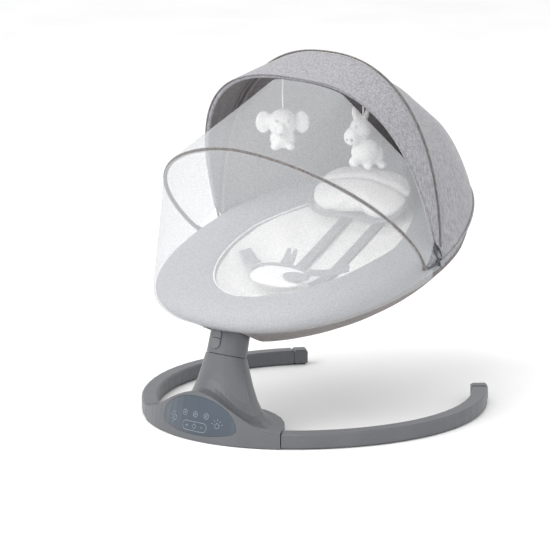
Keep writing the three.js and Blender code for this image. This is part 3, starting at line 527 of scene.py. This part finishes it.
def build_rim_cover():
    """The padded band round the seat, with a gathered elastic hem under its outer edge."""
    sides = 132
    rows = []
    for u, h in RIM_PROFILE:
        gather = max(0, (GATHER_TOP - h) / GATHER_DEPTH)
        row = []
        for angle in full_turn(sides):
            wave = math.sin(GATHERS * angle) * 0.008 * gather
            tucked_u, tucked_h = tucked(u, h, angle)
            lift = 1.2 * gather * math.cos(GATHERS * angle * 0.5)
            row.append(on_seat(*seat_xy(tucked_u + wave, angle), tucked_h + lift))
        rows.append(row)
    cover = grid("rim_cover_cloth", rows, "rim_fabric", wrap=True)
    thicken(cover, 2.0, offset=1, wrinkle=lambda p: ripple(p, 1.6, 60) + ripple(p, 0.8, 20, 5))
    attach(cover, "seat")
    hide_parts("rim_cover")
    hem = []
    for a in full_turn(sides * 2):
        u, h = tucked(1.93 + 0.006 * math.sin(GATHERS * a), HEM_HEIGHT, a)
        hem.append(on_seat(*seat_xy(u, a), h))
    elastic = tube("rim_elastic", hem, radius=2.0, look="stitching", closed=True)
    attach(elastic, "seat")


def build_sling():
    """The cloth hull under the seat, cut out round the collar."""
    sides = 120
    levels = [1.925, 1.92, 1.86, 1.8, 1.7, 1.55, 1.4, 1.2, 1.0, 0.8, 0.6, 0.4, 0.2, 0.02]
    rows = []
    for u in levels:
        height = -SLING_EDGE - (SLING_DEPTH - SLING_EDGE) * (1 - min(u / 1.9, 1) ** 2.6)
        row = []
        for a in full_turn(sides):
            drawn, _ = tucked(u, -SLING_EDGE * u / levels[0], a)
            rise = 13 if u == levels[0] else 6 * (u - drawn)
            row.append(on_seat(*seat_xy(drawn, a), height + rise))
        rows.append(row)
    hull = grid("sling_cloth", rows, "underside_fabric", wrap=True)
    close_floor(hull, rows)
    hole = collar_opening()
    thicken(hull, 1.6, offset=0, levels=0, wrinkle=lambda p: ripple(p, 1.5, 70, 2))
    opening = hull.modifiers.new("opening", "BOOLEAN")
    opening.operation = "DIFFERENCE"
    opening.object = hole
    opening.solver = "EXACT"
    apply_modifiers(hull)
    bpy.data.objects.remove(hole)
    smooth(hull, 40 * RAD)
    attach(hull, "seat")
    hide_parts("seat_sling")
    declare_sheet(rows, wrap=True)


def collar_opening():
    """An oval plug through the hull where the collar comes up, used only to cut it."""
    points = []
    steps = 40
    for h in (-140, 5):
        for a in full_turn(steps):
            points.append(on_seat(COLLAR_WIDE * math.cos(a), COLLAR_Y + COLLAR_LONG * math.sin(a), h))
    faces = [(i, (i + 1) % steps, steps + (i + 1) % steps, steps + i) for i in range(steps)]
    faces += [tuple(range(steps))[::-1], tuple(range(steps, 2 * steps))]
    return piece("collar_opening", points, faces, "underside_fabric")


def build_liner():
    """The white quilted liner: padded side bolsters and a back panel between two long seams."""
    sides = 120
    levels = [0.985, 0.95, 0.9, 0.84, 0.78, 0.71, 0.64, 0.56, 0.48, 0.4, 0.32, 0.24, 0.16, 0.08, 0.01]
    rows = []
    for u in levels:
        row = []
        for angle in full_turn(sides):
            x, y = seat_xy(u, angle, LINER_POLE)
            row.append(on_seat(x, y, liner_height(u, angle) - LINER_INSET + quilting(x, y, u)))
        rows.append(row)
    liner = grid("liner_cushion", rows, "liner_fabric", wrap=True)
    close_floor(liner, rows, facing_up=True)
    thicken(liner, 7, wrinkle=lambda p: ripple(p, 3.0, 55, 9) + ripple(p, 1.2, 22, 3))
    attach(liner, "seat")
    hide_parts("seat_liner")
    edge = [on_seat(*seat_xy(0.99, a), 10.5) for a in full_turn(160)]
    bead = tube("liner_piping", edge, radius=1.5, look="liner_fabric", closed=True)
    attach(bead, "seat")


def bell(value, middle, width):
    return math.exp(-(((value - middle) / width) ** 2))


def quilting(x, y, u):
    """How far the liner's cover stands over or under its plain bowl."""
    seam_x = 62 + 0.16 * (y + 60)
    seam = -3.5 * bell(abs(x), seam_x, 5) if y < 150 else 0
    bolster = 3.0 * bell(u, 0.72, 0.2)
    return seam * min(1, (1 - u) * 6) + bolster


def cushion_outline(angle, half_width, half_length, square):
    c, s = math.cos(angle), math.sin(angle)
    power = 2 / square
    return half_width * math.copysign(abs(c) ** power, c), half_length * math.copysign(abs(s) ** power, s)


def notch_lift(x, y, notch, half_width, half_length):
    """How far a notch pulls the middle of a cushion's lower edge in."""
    return notch * math.exp(-((x / (0.45 * half_width)) ** 2)) * (-y / half_length)


def pillow(name, half_width, half_length, thick, square, turn, centre, look, notch=0.0):
    """A crowned closed cushion, its outline a squared oval."""
    steps, levels = 48, 9
    crown, tip = 2.6, 0.02
    points, faces = [], []
    for k in range(-levels, levels + 1):
        t = k / levels
        grow = (1 - abs(t) ** crown) ** 0.5 if abs(t) < 1 else tip
        for a in full_turn(steps):
            x, y = cushion_outline(a, half_width, half_length, square)
            if y < 0:
                y += notch_lift(x, y, notch, half_width, half_length)
            points.append(Vector((x * grow, y * grow, 0.5 * thick * t)))
    rings = 2 * levels + 1
    for i in range(rings - 1):
        for j in range(steps):
            k = (j + 1) % steps
            faces.append((i * steps + j, i * steps + k, (i + 1) * steps + k, (i + 1) * steps + j))
    faces += [tuple(range(steps))[::-1], tuple(range((rings - 1) * steps, rings * steps))]
    rotated = Euler((turn, 0, 0)).to_matrix()
    placed = [on_seat(*(rotated @ p + Vector(centre))) for p in points]
    return piece(name, placed, faces, look)


def cushion_edge(spec, first, sweep, steps, grow_x=0, grow_y=0, height=0, notch=0):
    """Points along part of a cushion's edge, from one angle in degrees round to another."""
    rotated = Euler((spec["turn"], 0, 0)).to_matrix()
    edge = []
    for i in range(steps + 1):
        a = (first + sweep * i / steps) * RAD
        x, y = cushion_outline(a, spec["width"] + grow_x, spec["length"] + grow_y, spec["square"])
        y += notch_lift(x, y, notch, spec["width"], spec["length"])
        edge.append(on_seat(*(rotated @ Vector((x, y, height)) + Vector(spec["centre"]))))
    return edge


HEADREST = dict(width=104, length=58, thick=32, square=2.6, turn=27 * RAD, centre=(0, 116, 41))
HEADREST_NOTCH = 10


def seat_local(point):
    """The inverse of on_seat."""
    c, s = math.cos(SEAT_TILT), math.sin(SEAT_TILT)
    y, z = point.y / MM - SHIFT_Y - SEAT_Y, point.z / MM - SEAT_Z
    return Vector((point.x / MM, y * c + z * s, z * c - y * s))


def headrest_creases(point):
    """A long crease under the pillow's crown, and two tucks that run up from its lower seam."""
    turned = Euler((-HEADREST["turn"], 0, 0)).to_matrix()
    local = turned @ (seat_local(point) - Vector(HEADREST["centre"]))
    depth = 3.5 * math.exp(-(((local.y - 20 + 0.0016 * local.x ** 2) / 5) ** 2))
    for tuck_x in (-34, 30):
        line = local.x - tuck_x - 0.25 * local.y
        depth += 4.0 * math.exp(-((line / 5) ** 2)) * max(0.0, -local.y / 50)
    return -depth


def build_headrest():
    spec = HEADREST
    head = pillow(
        "headrest_pillow", spec["width"] - 3, spec["length"] - 3, spec["thick"] - 4, spec["square"],
        spec["turn"], spec["centre"], "liner_fabric", notch=HEADREST_NOTCH,
    )
    puff(head, voxel=4.5, pressure=4, cap=9)
    displace(head, lambda p: ripple(p, 2.2, 40, 4) + headrest_creases(p))
    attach(head, "seat")
    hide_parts("headrest")
    edge = cushion_edge(spec, 188, 164, 48, grow_x=3, grow_y=6, notch=HEADREST_NOTCH)
    trim = tube("headrest_piping", edge, radius=3.4, look="strap_webbing")
    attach(trim, "seat")


def band(name, places, width, thick, look):
    """A flat strap on a smooth curve through places on the seat, each an x, y and height."""
    count = 28
    knots = [Vector(p) for p in places]
    rows = []
    for i in range(count + 1):
        t = i / count * (len(knots) - 1)
        k = min(int(t), len(knots) - 2)
        before, after = knots[max(k - 1, 0)], knots[min(k + 2, len(knots) - 1)]
        f = t - k
        a, b = knots[k], knots[k + 1]
        spot = 0.5 * (
            2 * a + (b - before) * f + (2 * before - 5 * a + 4 * b - after) * f * f
            + (3 * a - before - 3 * b + after) * f ** 3
        )
        run = (b - a).normalized()
        side = Vector((-run.y, run.x, 0)).normalized() * (width / 2)
        crown = Vector((0, 0, 0.5))
        row = [
            spot - side,
            spot - side * 0.92 + crown,
            spot + crown * 1.3,
            spot + side * 0.92 + crown,
            spot + side,
        ]
        rows.append([on_seat(*p) for p in row])
    made = grid(name, rows, look)
    return thicken(made, thick, 0, 1)


def build_straps():
    """The harness: shoulder straps that lie on the liner, and waist belts that come in from the sides."""
    for side, name in ((-1, "right"), (1, "left")):
        x = side * 36
        route = [(x, 108), (x, 70), (x, 30), (x, -10), (side * 34, -50), (side * 27, -88)]
        places = [(px, py, liner_top(px + side * 8, py) + 5.5) for px, py in route]
        strap = band(f"shoulder_webbing_{name}", places, width=21, thick=1.8, look="strap_webbing")
        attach(strap, "seat")
        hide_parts(f"shoulder_strap_{name}")
        belt_places = [(side * 116, -82, 4), (side * 98, -94, 1), (side * 80, -108, 2), (side * 60, -122, 6)]
        belt = band(f"waist_webbing_{name}", belt_places, width=22, thick=3.0, look="strap_webbing")
        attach(belt, "seat")
        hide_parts(f"waist_pad_{name}")


BELLY = dict(width=60, length=29, thick=16, square=2.5, turn=10 * RAD, centre=(0, -134, -4))


def build_belly_pad():
    spec = BELLY
    pad = pillow(
        "belly_pad", spec["width"] - 2, spec["length"] - 2, spec["thick"] - 3, spec["square"],
        spec["turn"], spec["centre"], "liner_fabric",
    )
    puff(pad, voxel=3.5, pressure=4, cap=5)
    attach(pad, "seat")
    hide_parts("crotch_pad")
    trim = tube("belly_piping", cushion_edge(spec, 6, 168, 40, height=2), radius=3.0, look="strap_webbing")
    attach(trim, "seat")


def build_belt_end():
    """The padded grey end of the waist belt, which lies on the belly pad."""
    tab = pillow("belt_end", 27, 11, 7, 2.1, 10 * RAD, (46, -141, 6), "strap_webbing")
    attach(tab, "seat")


def build_buckle():
    """A plain three-point buckle: a rounded body with two shoulder tongues and a press."""
    body = pillow("buckle_body", 13, 15, 9, 3.2, 30 * RAD, (-12, -92, 2), "strap_webbing")
    tongues = [
        pillow(f"buckle_tongue_{i}", 5, 10, 4, 3, 45 * RAD, (-12 + dx, -80, 11), "strap_webbing")
        for i, dx in enumerate((-7, 7))
    ]
    press = pillow("buckle_press", 6, 6, 3, 2.2, 30 * RAD, (-12, -94, 6), "stitching")
    made = join("buckle_detail", [body, press, *tongues])
    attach(made, "seat")
    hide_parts("buckle")


# ---- hood and net ----
FAN_COLUMNS = columns(2.5, 70)
NET_CHORDS = ((30 * RAD, 70 * RAD), (93 * RAD, 152 * RAD))


def build_hood_front():
    """The brim, from the front bow up to the ridge, with a pale shell and a darker lining."""
    proud = BOW_RADIUS + 3
    low = lambda a: bow_point(FRONT_BOW, LANES["front"], a, proud, -1.2 * RAD)
    high = lambda a: bow_point(MID_BOW, LANES["front"], a, proud)
    rows = between(low, high, 8, FAN_COLUMNS)
    cloth = grid("hood_brim", rows, "heather_fabric")
    two_faced(cloth, 1.8, lambda p: ripple(p, 1.2, 70, 1))
    fan(cloth)
    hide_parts("hood_front")
    declare_sheet(rows)


def two_faced(cloth, thickness, wrinkle):
    """Gives a cloth its wrinkles and its thickness, with the lining material on its inner face."""
    displace(cloth, wrinkle)
    cloth.data.materials.append(LOOKS["lining_fabric"])
    centre = hub_place(0, 0, 0)
    data = cloth.data
    face = data.polygons[len(data.polygons) // 2]
    if (face.center - centre).dot(face.normal) < 0:
        data.flip_normals()
    solid = cloth.modifiers.new("thickness", "SOLIDIFY")
    solid.thickness = thickness * MM
    solid.offset = -1
    solid.material_offset = 1
    cloth.modifiers.new("soft", "SUBSURF").levels = 1
    return apply_modifiers(cloth)


def rear_rows(steps, angles, grow=0.0):
    """Hoops from just under the brim, over the ridge and back to the rim, with the cloth's slack between."""
    under_brim = dict(MID_BOW, angle=MID_BOW["angle"] - 2.5 * RAD)
    rows = [[bow_point(under_brim, LANES["front"], a, BOW_RADIUS + grow) for a in angles]]
    for i in range(steps + 1):
        share = i / steps
        lift = MID_BOW["angle"] + (HEM_ANGLE - 0.4 * RAD - MID_BOW["angle"]) * share
        slack = REAR_SLACK * math.sin(share ** 0.75 * math.pi)
        hoop = dict(
            angle=lift,
            radius=REAR_RADIUS - slack + grow,
            square=MID_BOW["square"] + (RIM["rear"] - MID_BOW["square"]) * share,
        )
        rows.append([bow_point(hoop, LANES["front"] + 5 - 3 * share + grow, a) for a in angles])
    return rows


def rear_wrinkle(point):
    """Loose folds that die out at the ridge and at the hem."""
    hub = hub_place(0, 0, 0)
    lift = math.atan2(point.z - hub.z, hub.y - point.y)
    share = min(max((lift - MID_BOW["angle"]) / (HEM_ANGLE - MID_BOW["angle"]), 0.0), 1.0)
    return math.sin(share * math.pi) ** 0.7 * (ripple(point, 5.5, 80, 7) + ripple(point, 2.0, 30, 2))


def build_hood_rear():
    rows = rear_rows(18, FAN_COLUMNS)
    cloth = grid("hood_back", rows, "heather_fabric")
    two_faced(cloth, 1.8, rear_wrinkle)
    fan(cloth)
    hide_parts("hood_rear")
    declare_sheet(rows)


def build_hood_trim():
    """Piping on the ridge, cloth sleeves on the three bows and a rolled hem on the rim."""
    angles = columns(3, 90)
    piping = [bow_point(MID_BOW, LANES["front"], a, 6.7) for a in angles]
    pocket = [bow_point(MID_BOW, LANES["mid"], a) for a in angles]
    binding = [bow_point(FRONT_BOW, LANES["front"], a) for a in angles]
    hem = rear_rows(1, angles, 1.0)[-1]
    sleeve = [net_point(a) for a in columns(2, 110)]
    for name, points, radius, look, body in (
        ("ridge_piping", piping, 1.7, "bow_sleeve", "mid_bow"),
        ("ridge_pocket", pocket, 3.3, "lining_fabric", "mid_bow"),
        ("brim_binding", binding, 3.6, "heather_fabric", "front_bow"),
        ("hood_hem", hem, 2.0, "heather_fabric", "seat"),
        ("net_bow_sleeve", sleeve, 3.5, "bow_sleeve", "net_bow"),
    ):
        made = tube(name, points, radius, look)
        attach(made, body)


def brim_edge(angle):
    return bow_point(FRONT_BOW, LANES["front"] + 1, angle, 0.5, -1.6 * RAD)


def net_edge(angle):
    """The bow itself, and a straight taut edge between the places where the net is fastened to it."""
    for first, last in NET_CHORDS:
        if first < angle < last:
            return brim_edge(first).lerp(brim_edge(last), (angle - first) / (last - first))
    return brim_edge(angle)


def build_net_top():
    """The net that closes the opening, from the brim down to the net's own bow."""
    rows = between(lambda a: net_point(a, NET_PROUD, 1.0), net_edge, 10, FAN_COLUMNS)
    upper = grid("net_top", rows, "net_mesh")
    upper.modifiers.new("soft", "SUBSURF").levels = 1
    apply_modifiers(upper)
    fan(upper)
    upper.visible_shadow = False
    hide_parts("net_upper")
    declare_sheet(rows)


def net_hem(angle, u, h):
    """A place outside the rim band, which the net follows in under the rim."""
    drawn_u, drawn_h = tucked(u, h, -angle)
    return on_seat(*seat_xy(drawn_u, -angle), drawn_h)


def build_net_front():
    """The net's skirt, from its bow down over the foot end and in under the rim band."""
    rows = between(lambda a: net_point(a, NET_PROUD, -1.0), lambda a: net_hem(a, 2.075, 6), 9, FAN_COLUMNS)
    for u, h in ((2.085, -4), (2.08, -12), (2.05, -22)):
        rows.append([net_hem(a, u, h) for a in FAN_COLUMNS])
    skirt = grid("net_front", rows, "net_mesh")
    skirt.modifiers.new("soft", "SUBSURF").levels = 1
    apply_modifiers(skirt)
    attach(skirt, "net_bow")
    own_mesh(skirt)
    skirt.visible_shadow = False
    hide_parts("net_skirt")
    declare_sheet(rows)


# ---- toys ----
def blob(name, centre, size, turn=(0, 0, 0)):
    """An egg of the given half sizes, in millimetres, turned by degrees."""
    mesh = bmesh.new()
    bmesh.ops.create_uvsphere(mesh, u_segments=20, v_segments=12, radius=1)
    turned = Euler([t * RAD for t in turn]).to_matrix().to_4x4()
    mesh.transform(Matrix.Translation(Vector(centre)) @ turned @ Matrix.Diagonal((*size, 1)))
    data = bpy.data.meshes.new(name)
    mesh.to_mesh(data)
    mesh.free()
    made = bpy.data.objects.new(name, data)
    bpy.context.scene.collection.objects.link(made)
    return made


def plush_toy(name, blobs, marks, anchor, body, nodes):
    """Blobs run together into one plush body, with embroidered marks on it."""
    parts = [blob(f"{name}_{i}", *spec) for i, spec in enumerate(blobs)]
    body_mesh = join(name, parts)
    remesh = body_mesh.modifiers.new("even", "REMESH")
    remesh.mode = "VOXEL"
    remesh.voxel_size = TOY_VOXEL
    apply_modifiers(body_mesh)
    relax = body_mesh.modifiers.new("soft", "SMOOTH")
    relax.iterations = 7
    relax.factor = 0.6
    apply_modifiers(body_mesh)
    body_mesh.data.materials.clear()
    body_mesh.data.materials.append(LOOKS["toy_plush"])
    dots = []
    for i, spec in enumerate(marks):
        dot = blob(f"{name}_mark_{i}", *spec)
        dot.data.materials.append(LOOKS["stitching"])
        dots.append(dot)
    whole = join(name, [body_mesh, *dots])
    turned = Matrix.Translation(anchor) @ Matrix.Rotation(TOY_TURN, 4, "Z") @ Matrix.Scale(MM, 4)
    whole.data.transform(turned)
    smooth(whole)
    displace(whole, lambda p: ripple(p, 0.7, 9, 6))
    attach(whole, body)
    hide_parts(*nodes)


# A blob is its centre, across, back and up from the toy's middle, its half sizes, and any turn in degrees.
ELEPHANT = [
    ((0, 0, 4), (25, 22, 25)),
    ((-33, 3, 5), (15, 6, 20), (0, 0, 18)),
    ((33, 3, 5), (15, 6, 20), (0, 0, -18)),
    ((-3, -19, -7), (9, 11, 15), (25, 0, 0)),
    ((0, 2, -24), (23, 20, 17)),
    ((-12, -9, -36), (9, 10, 7)),
    ((13, -9, -36), (9, 10, 7)),
    ((21, 2, 5), (12, 7, 10)),
    ((-21, 2, 5), (12, 7, 10)),
]
ELEPHANT_MARKS = [
    ((-10, -20.5, 10), (2.0, 1.5, 2.4)),
    ((10, -20.5, 10), (2.0, 1.5, 2.4)),
    ((-3, -29, -12), (3.4, 2, 2.6)),
]
DONKEY = [
    ((5, 0, -22), (25, 20, 24)),
    ((22, 4, -28), (15, 14, 17)),
    ((-5, -4, 18), (18, 16, 20)),
    ((-18, -12, 6), (15, 13, 16)),
    ((-14, -2, 43), (5, 4, 13), (0, -12, 0)),
    ((6, -2, 42), (5, 4, 13), (0, 14, 0)),
    ((-14, -10, -38), (10, 12, 9)),
    ((9, -8, -45), (8, 9, 7)),
    ((33, 2, -45), (8, 8, 7)),
    ((-5, 2, 34), (6, 6, 8)),
]
DONKEY_MARKS = [
    ((-12, -19.5, 24), (2.0, 1.4, 2.4)),
    ((5, -18.5, 24), (2.0, 1.4, 2.4)),
    ((-20, -25, 2), (2.6, 1.4, 2.2)),
    ((-27, -21, 2), (2.2, 1.4, 2.0)),
]
TOY_VOXEL = 1.7
TOY_TURN = 40 * RAD
TAPE_STEPS = 14


def build_tape(name):
    """A toy's ribbon: a narrow woven tape that sways a little on its way up to the bow."""
    low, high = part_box(f"{name}_ribbon")
    middle = (Vector(low) + Vector(high)) / 2
    rows = []
    for i in range(TAPE_STEPS + 1):
        z_at = low[2] - 0.004 + (high[2] - low[2] + 0.006) * i / TAPE_STEPS
        y_at = middle.y + 0.0006 * math.sin(i)
        rows.append([Vector((middle.x + dx * MM, y_at, z_at)) for dx in (-1.6, -0.8, 0.8, 1.6)])
    tape = grid(f"{name}_tape", rows, "liner_fabric")
    thicken(tape, 0.8, offset=0)
    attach(tape, name)
    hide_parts(f"{name}_ribbon")


def build_toys():
    for name, blobs, marks, x, z in (
        ("elephant", ELEPHANT, ELEPHANT_MARKS, -98, 474),
        ("donkey", DONKEY, DONKEY_MARKS, 79, 470),
    ):
        plush_toy(f"{name}_plush", blobs, marks, hub_place(x, 0, z - HUB_Z), name, [f"{name}_toy"])
        build_tape(name)


# ---- hard parts: the frame's own nodes, with better surfaces ----
NODE_LOOKS = {
    "base_plastic": ["base_shell", "arm_left", "arm_right", "neck_collar", "arm_cap_left", "arm_cap_right"],
    "button_plastic": ["release_button"],
    "panel_gloss": ["control_panel"],
    "foot_rubber": [
        f"foot_{spot}_{side}" for spot in ("front", "side", "rear") for side in ("left", "right")
    ],
    "tube_aluminium": ["rim_tube_front", "rim_tube_rear", "strut_left", "strut_right"],
    "steel": [
        "swing_shaft", "lower_bearing", "upper_bearing", "button_spring", "hub_pin_left", "hub_pin_right",
    ],
    "coil_copper": ["drive_coil"],
    "circuit_board": ["control_board"],
    "dark_plastic": [
        "bottom_cover", "dc_inlet", "battery_box", "battery_door", "shaft_housing", "speaker",
        "magnet_arm", "seat_bracket", "hub_left", "hub_right", "strut_clamp_left", "strut_clamp_right",
        "mid_bow", "front_bow", "net_bow",
    ],
}


def dress_nodes():
    for look, names in NODE_LOOKS.items():
        for name in names:
            node = NODES[name]
            node.data.materials.clear()
            node.data.materials.append(LOOKS[look])
            smooth(node, 32 * RAD)
            weighted = node.modifiers.new("even_shading", "WEIGHTED_NORMAL")
            weighted.keep_sharp = True


# ---- marks on the control panel, all of them generic ----
def panel_surface():
    node = NODES["control_panel"]
    data = node.data
    points = [node.matrix_world @ v.co for v in data.vertices]
    return BVHTree.FromPolygons(points, [tuple(f.vertices) for f in data.polygons])


def on_panel(tree, x, z):
    """The place on the panel's face straight behind a point given across and up, in millimetres."""
    hit = tree.ray_cast(Vector((x * MM, -1, z * MM)), Vector((0, 1, 0)))
    if hit[0] is None:
        raise ValueError(f"the panel has no face at {x}, {z}")
    return hit[0] + Vector((0, -0.0003, 0))


PANEL_COLUMNS = (-23, 0, 23)
RING_ROW, SUN_ROW, PILL_ROW = 44, 31, 24
SUN_X = 46
KEY_X, KEY_HALF = 16, 2.5


def ring_marks(x, z, radius, count=28):
    return [(x + radius * math.cos(a), z + radius * math.sin(a)) for a in full_turn(count)]


def stroke(x, z, half_width, half_height):
    return (x - half_width, z - half_height), (x + half_width, z + half_height)


def diamond(x, z, half):
    return (x - half, z), (x, z + half), (x + half, z), (x, z - half)


def sun_rays(x, z, start):
    """Five short rays on one side of a small ring, from an angle in degrees."""
    inner, outer = 8, 11.5
    rays = []
    for k in range(5):
        a = (start + 36 * k) * RAD
        c, s = math.cos(a), math.sin(a)
        rays.append(((x + inner * c, z + inner * s), (x + outer * c, z + outer * s)))
    return rays


def pill_marks(x, z, half_width, radius):
    points = []
    for centre, start in ((half_width - radius, -90), (radius - half_width, 90)):
        for i in range(13):
            a = (start + 15 * i) * RAD
            points.append((x + centre + radius * math.cos(a), z + radius * math.sin(a)))
    return points


def build_button_step():
    """The raised bar across the middle of the seat release button."""
    lean = Matrix.Rotation(-NECK_LEAN, 3, "X")
    points = []
    for i in range(9):
        x = -BUTTON_STEP_HALF + 2 * BUTTON_STEP_HALF * i / 8
        local = lean @ Vector((x, BUTTON_FACE + BUTTON_CURVE * x * x, BUTTON_HEIGHT))
        points.append(place(local.x, NECK[1] + local.y, NECK[2] + local.z))
    bar = tube("button_step", points, radius=1.3, look="button_plastic")
    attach(bar, "button")


def build_panel_marks():
    tree = panel_surface()
    lines = [(ring_marks(x, RING_ROW, 4.6), True) for x in PANEL_COLUMNS]
    lines += [(ring_marks(x, RING_ROW, 1.5, 10), True) for x in PANEL_COLUMNS]
    lines.append((pill_marks(0, PILL_ROW, 26, 7.5), True))
    lines.append((stroke(-KEY_X, PILL_ROW, KEY_HALF, 0), False))
    lines.append((stroke(-KEY_X, PILL_ROW, 0, KEY_HALF), False))
    lines.append((stroke(KEY_X, PILL_ROW, KEY_HALF, 0), False))
    lines.append((diamond(0, PILL_ROW, 4.5), True))
    for x, start in ((-SUN_X, 90), (SUN_X, 18)):
        lines.append((ring_marks(x, SUN_ROW, 4.2), True))
        lines += [(ray, False) for ray in sun_rays(x, SUN_ROW, start)]
    parts = []
    for i, (points, closed) in enumerate(lines):
        route = [on_panel(tree, *p) for p in dense(points, closed)]
        parts.append(tube(f"mark_{i}", route, radius=0.42, look="panel_marks", closed=closed, sides=1))
    made = join("panel_symbols", parts)
    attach(made, "base")


def dense(points, closed):
    """The same line with two more points on each stretch, so that it follows a curved face."""
    loop = list(points) + [points[0]] if closed else list(points)
    filled = []
    for (ax, az), (bx, bz) in zip(loop, loop[1:]):
        filled += [(ax + (bx - ax) * t, az + (bz - az) * t) for t in (0, 1 / 3, 2 / 3)]
    return filled if closed else filled + [loop[-1]]


# ---- light, floor and camera ----
def area_light(name, spot, aim, size, power):
    light = bpy.data.lights.new(name, "AREA")
    light.shape = "DISK"
    light.size = size
    light.energy = power
    made = bpy.data.objects.new(name, light)
    bpy.context.scene.collection.objects.link(made)
    made.location = spot
    made.rotation_euler = (Vector(aim) - Vector(spot)).to_track_quat("-Z", "Y").to_euler()


def build_stage():
    mesh = bmesh.new()
    bmesh.ops.create_grid(mesh, x_segments=4, y_segments=4, size=14)
    data = bpy.data.meshes.new("floor")
    mesh.to_mesh(data)
    mesh.free()
    floor = bpy.data.objects.new("floor", data)
    bpy.context.scene.collection.objects.link(floor)
    material, shader = new_material("floor_paper", rgb("fafafa"), 0.9)
    tint(material, shader, texture(material, "ShaderNodeTexNoise", 3, Detail=2), rgb("f8f8f8"), rgb("fcfcfc"))
    data.materials.append(material)
    world = bpy.data.worlds.new("studio")
    bpy.context.scene.world = world
    world.use_nodes = True
    backdrop = world.node_tree.nodes["Background"]
    backdrop.inputs["Color"].default_value = (1, 1, 1, 1)
    backdrop.inputs["Strength"].default_value = 0.95
    bpy.context.scene.view_settings.view_transform = "Standard"
    centre = (0, 0, 0.3)
    area_light("key", (-0.3, -2.6, 3.0), centre, 5.0, 125)
    area_light("fill", (3.2, -1.6, 1.4), centre, 2.5, 12)
    area_light("back", (-0.8, 2.6, 2.4), centre, 2.0, 8)


def build_camera():
    data = bpy.data.cameras.new("camera")
    data.lens = CAMERA_LENS
    data.sensor_width = 36
    data.clip_end = 100
    made = bpy.data.objects.new("camera", data)
    bpy.context.scene.collection.objects.link(made)
    made.location = place(*CAMERA_PLACE)
    made.rotation_euler = CAMERA_TURN
    bpy.context.scene.camera = made


build_camera()
build_stage()
dress_nodes()
build_rim_cover()
build_sling()
build_liner()
build_headrest()
build_straps()
build_belly_pad()
build_belt_end()
build_buckle()
build_hood_front()
build_hood_rear()
build_hood_trim()
build_net_top()
build_net_front()
build_toys()
build_button_step()
build_panel_marks()
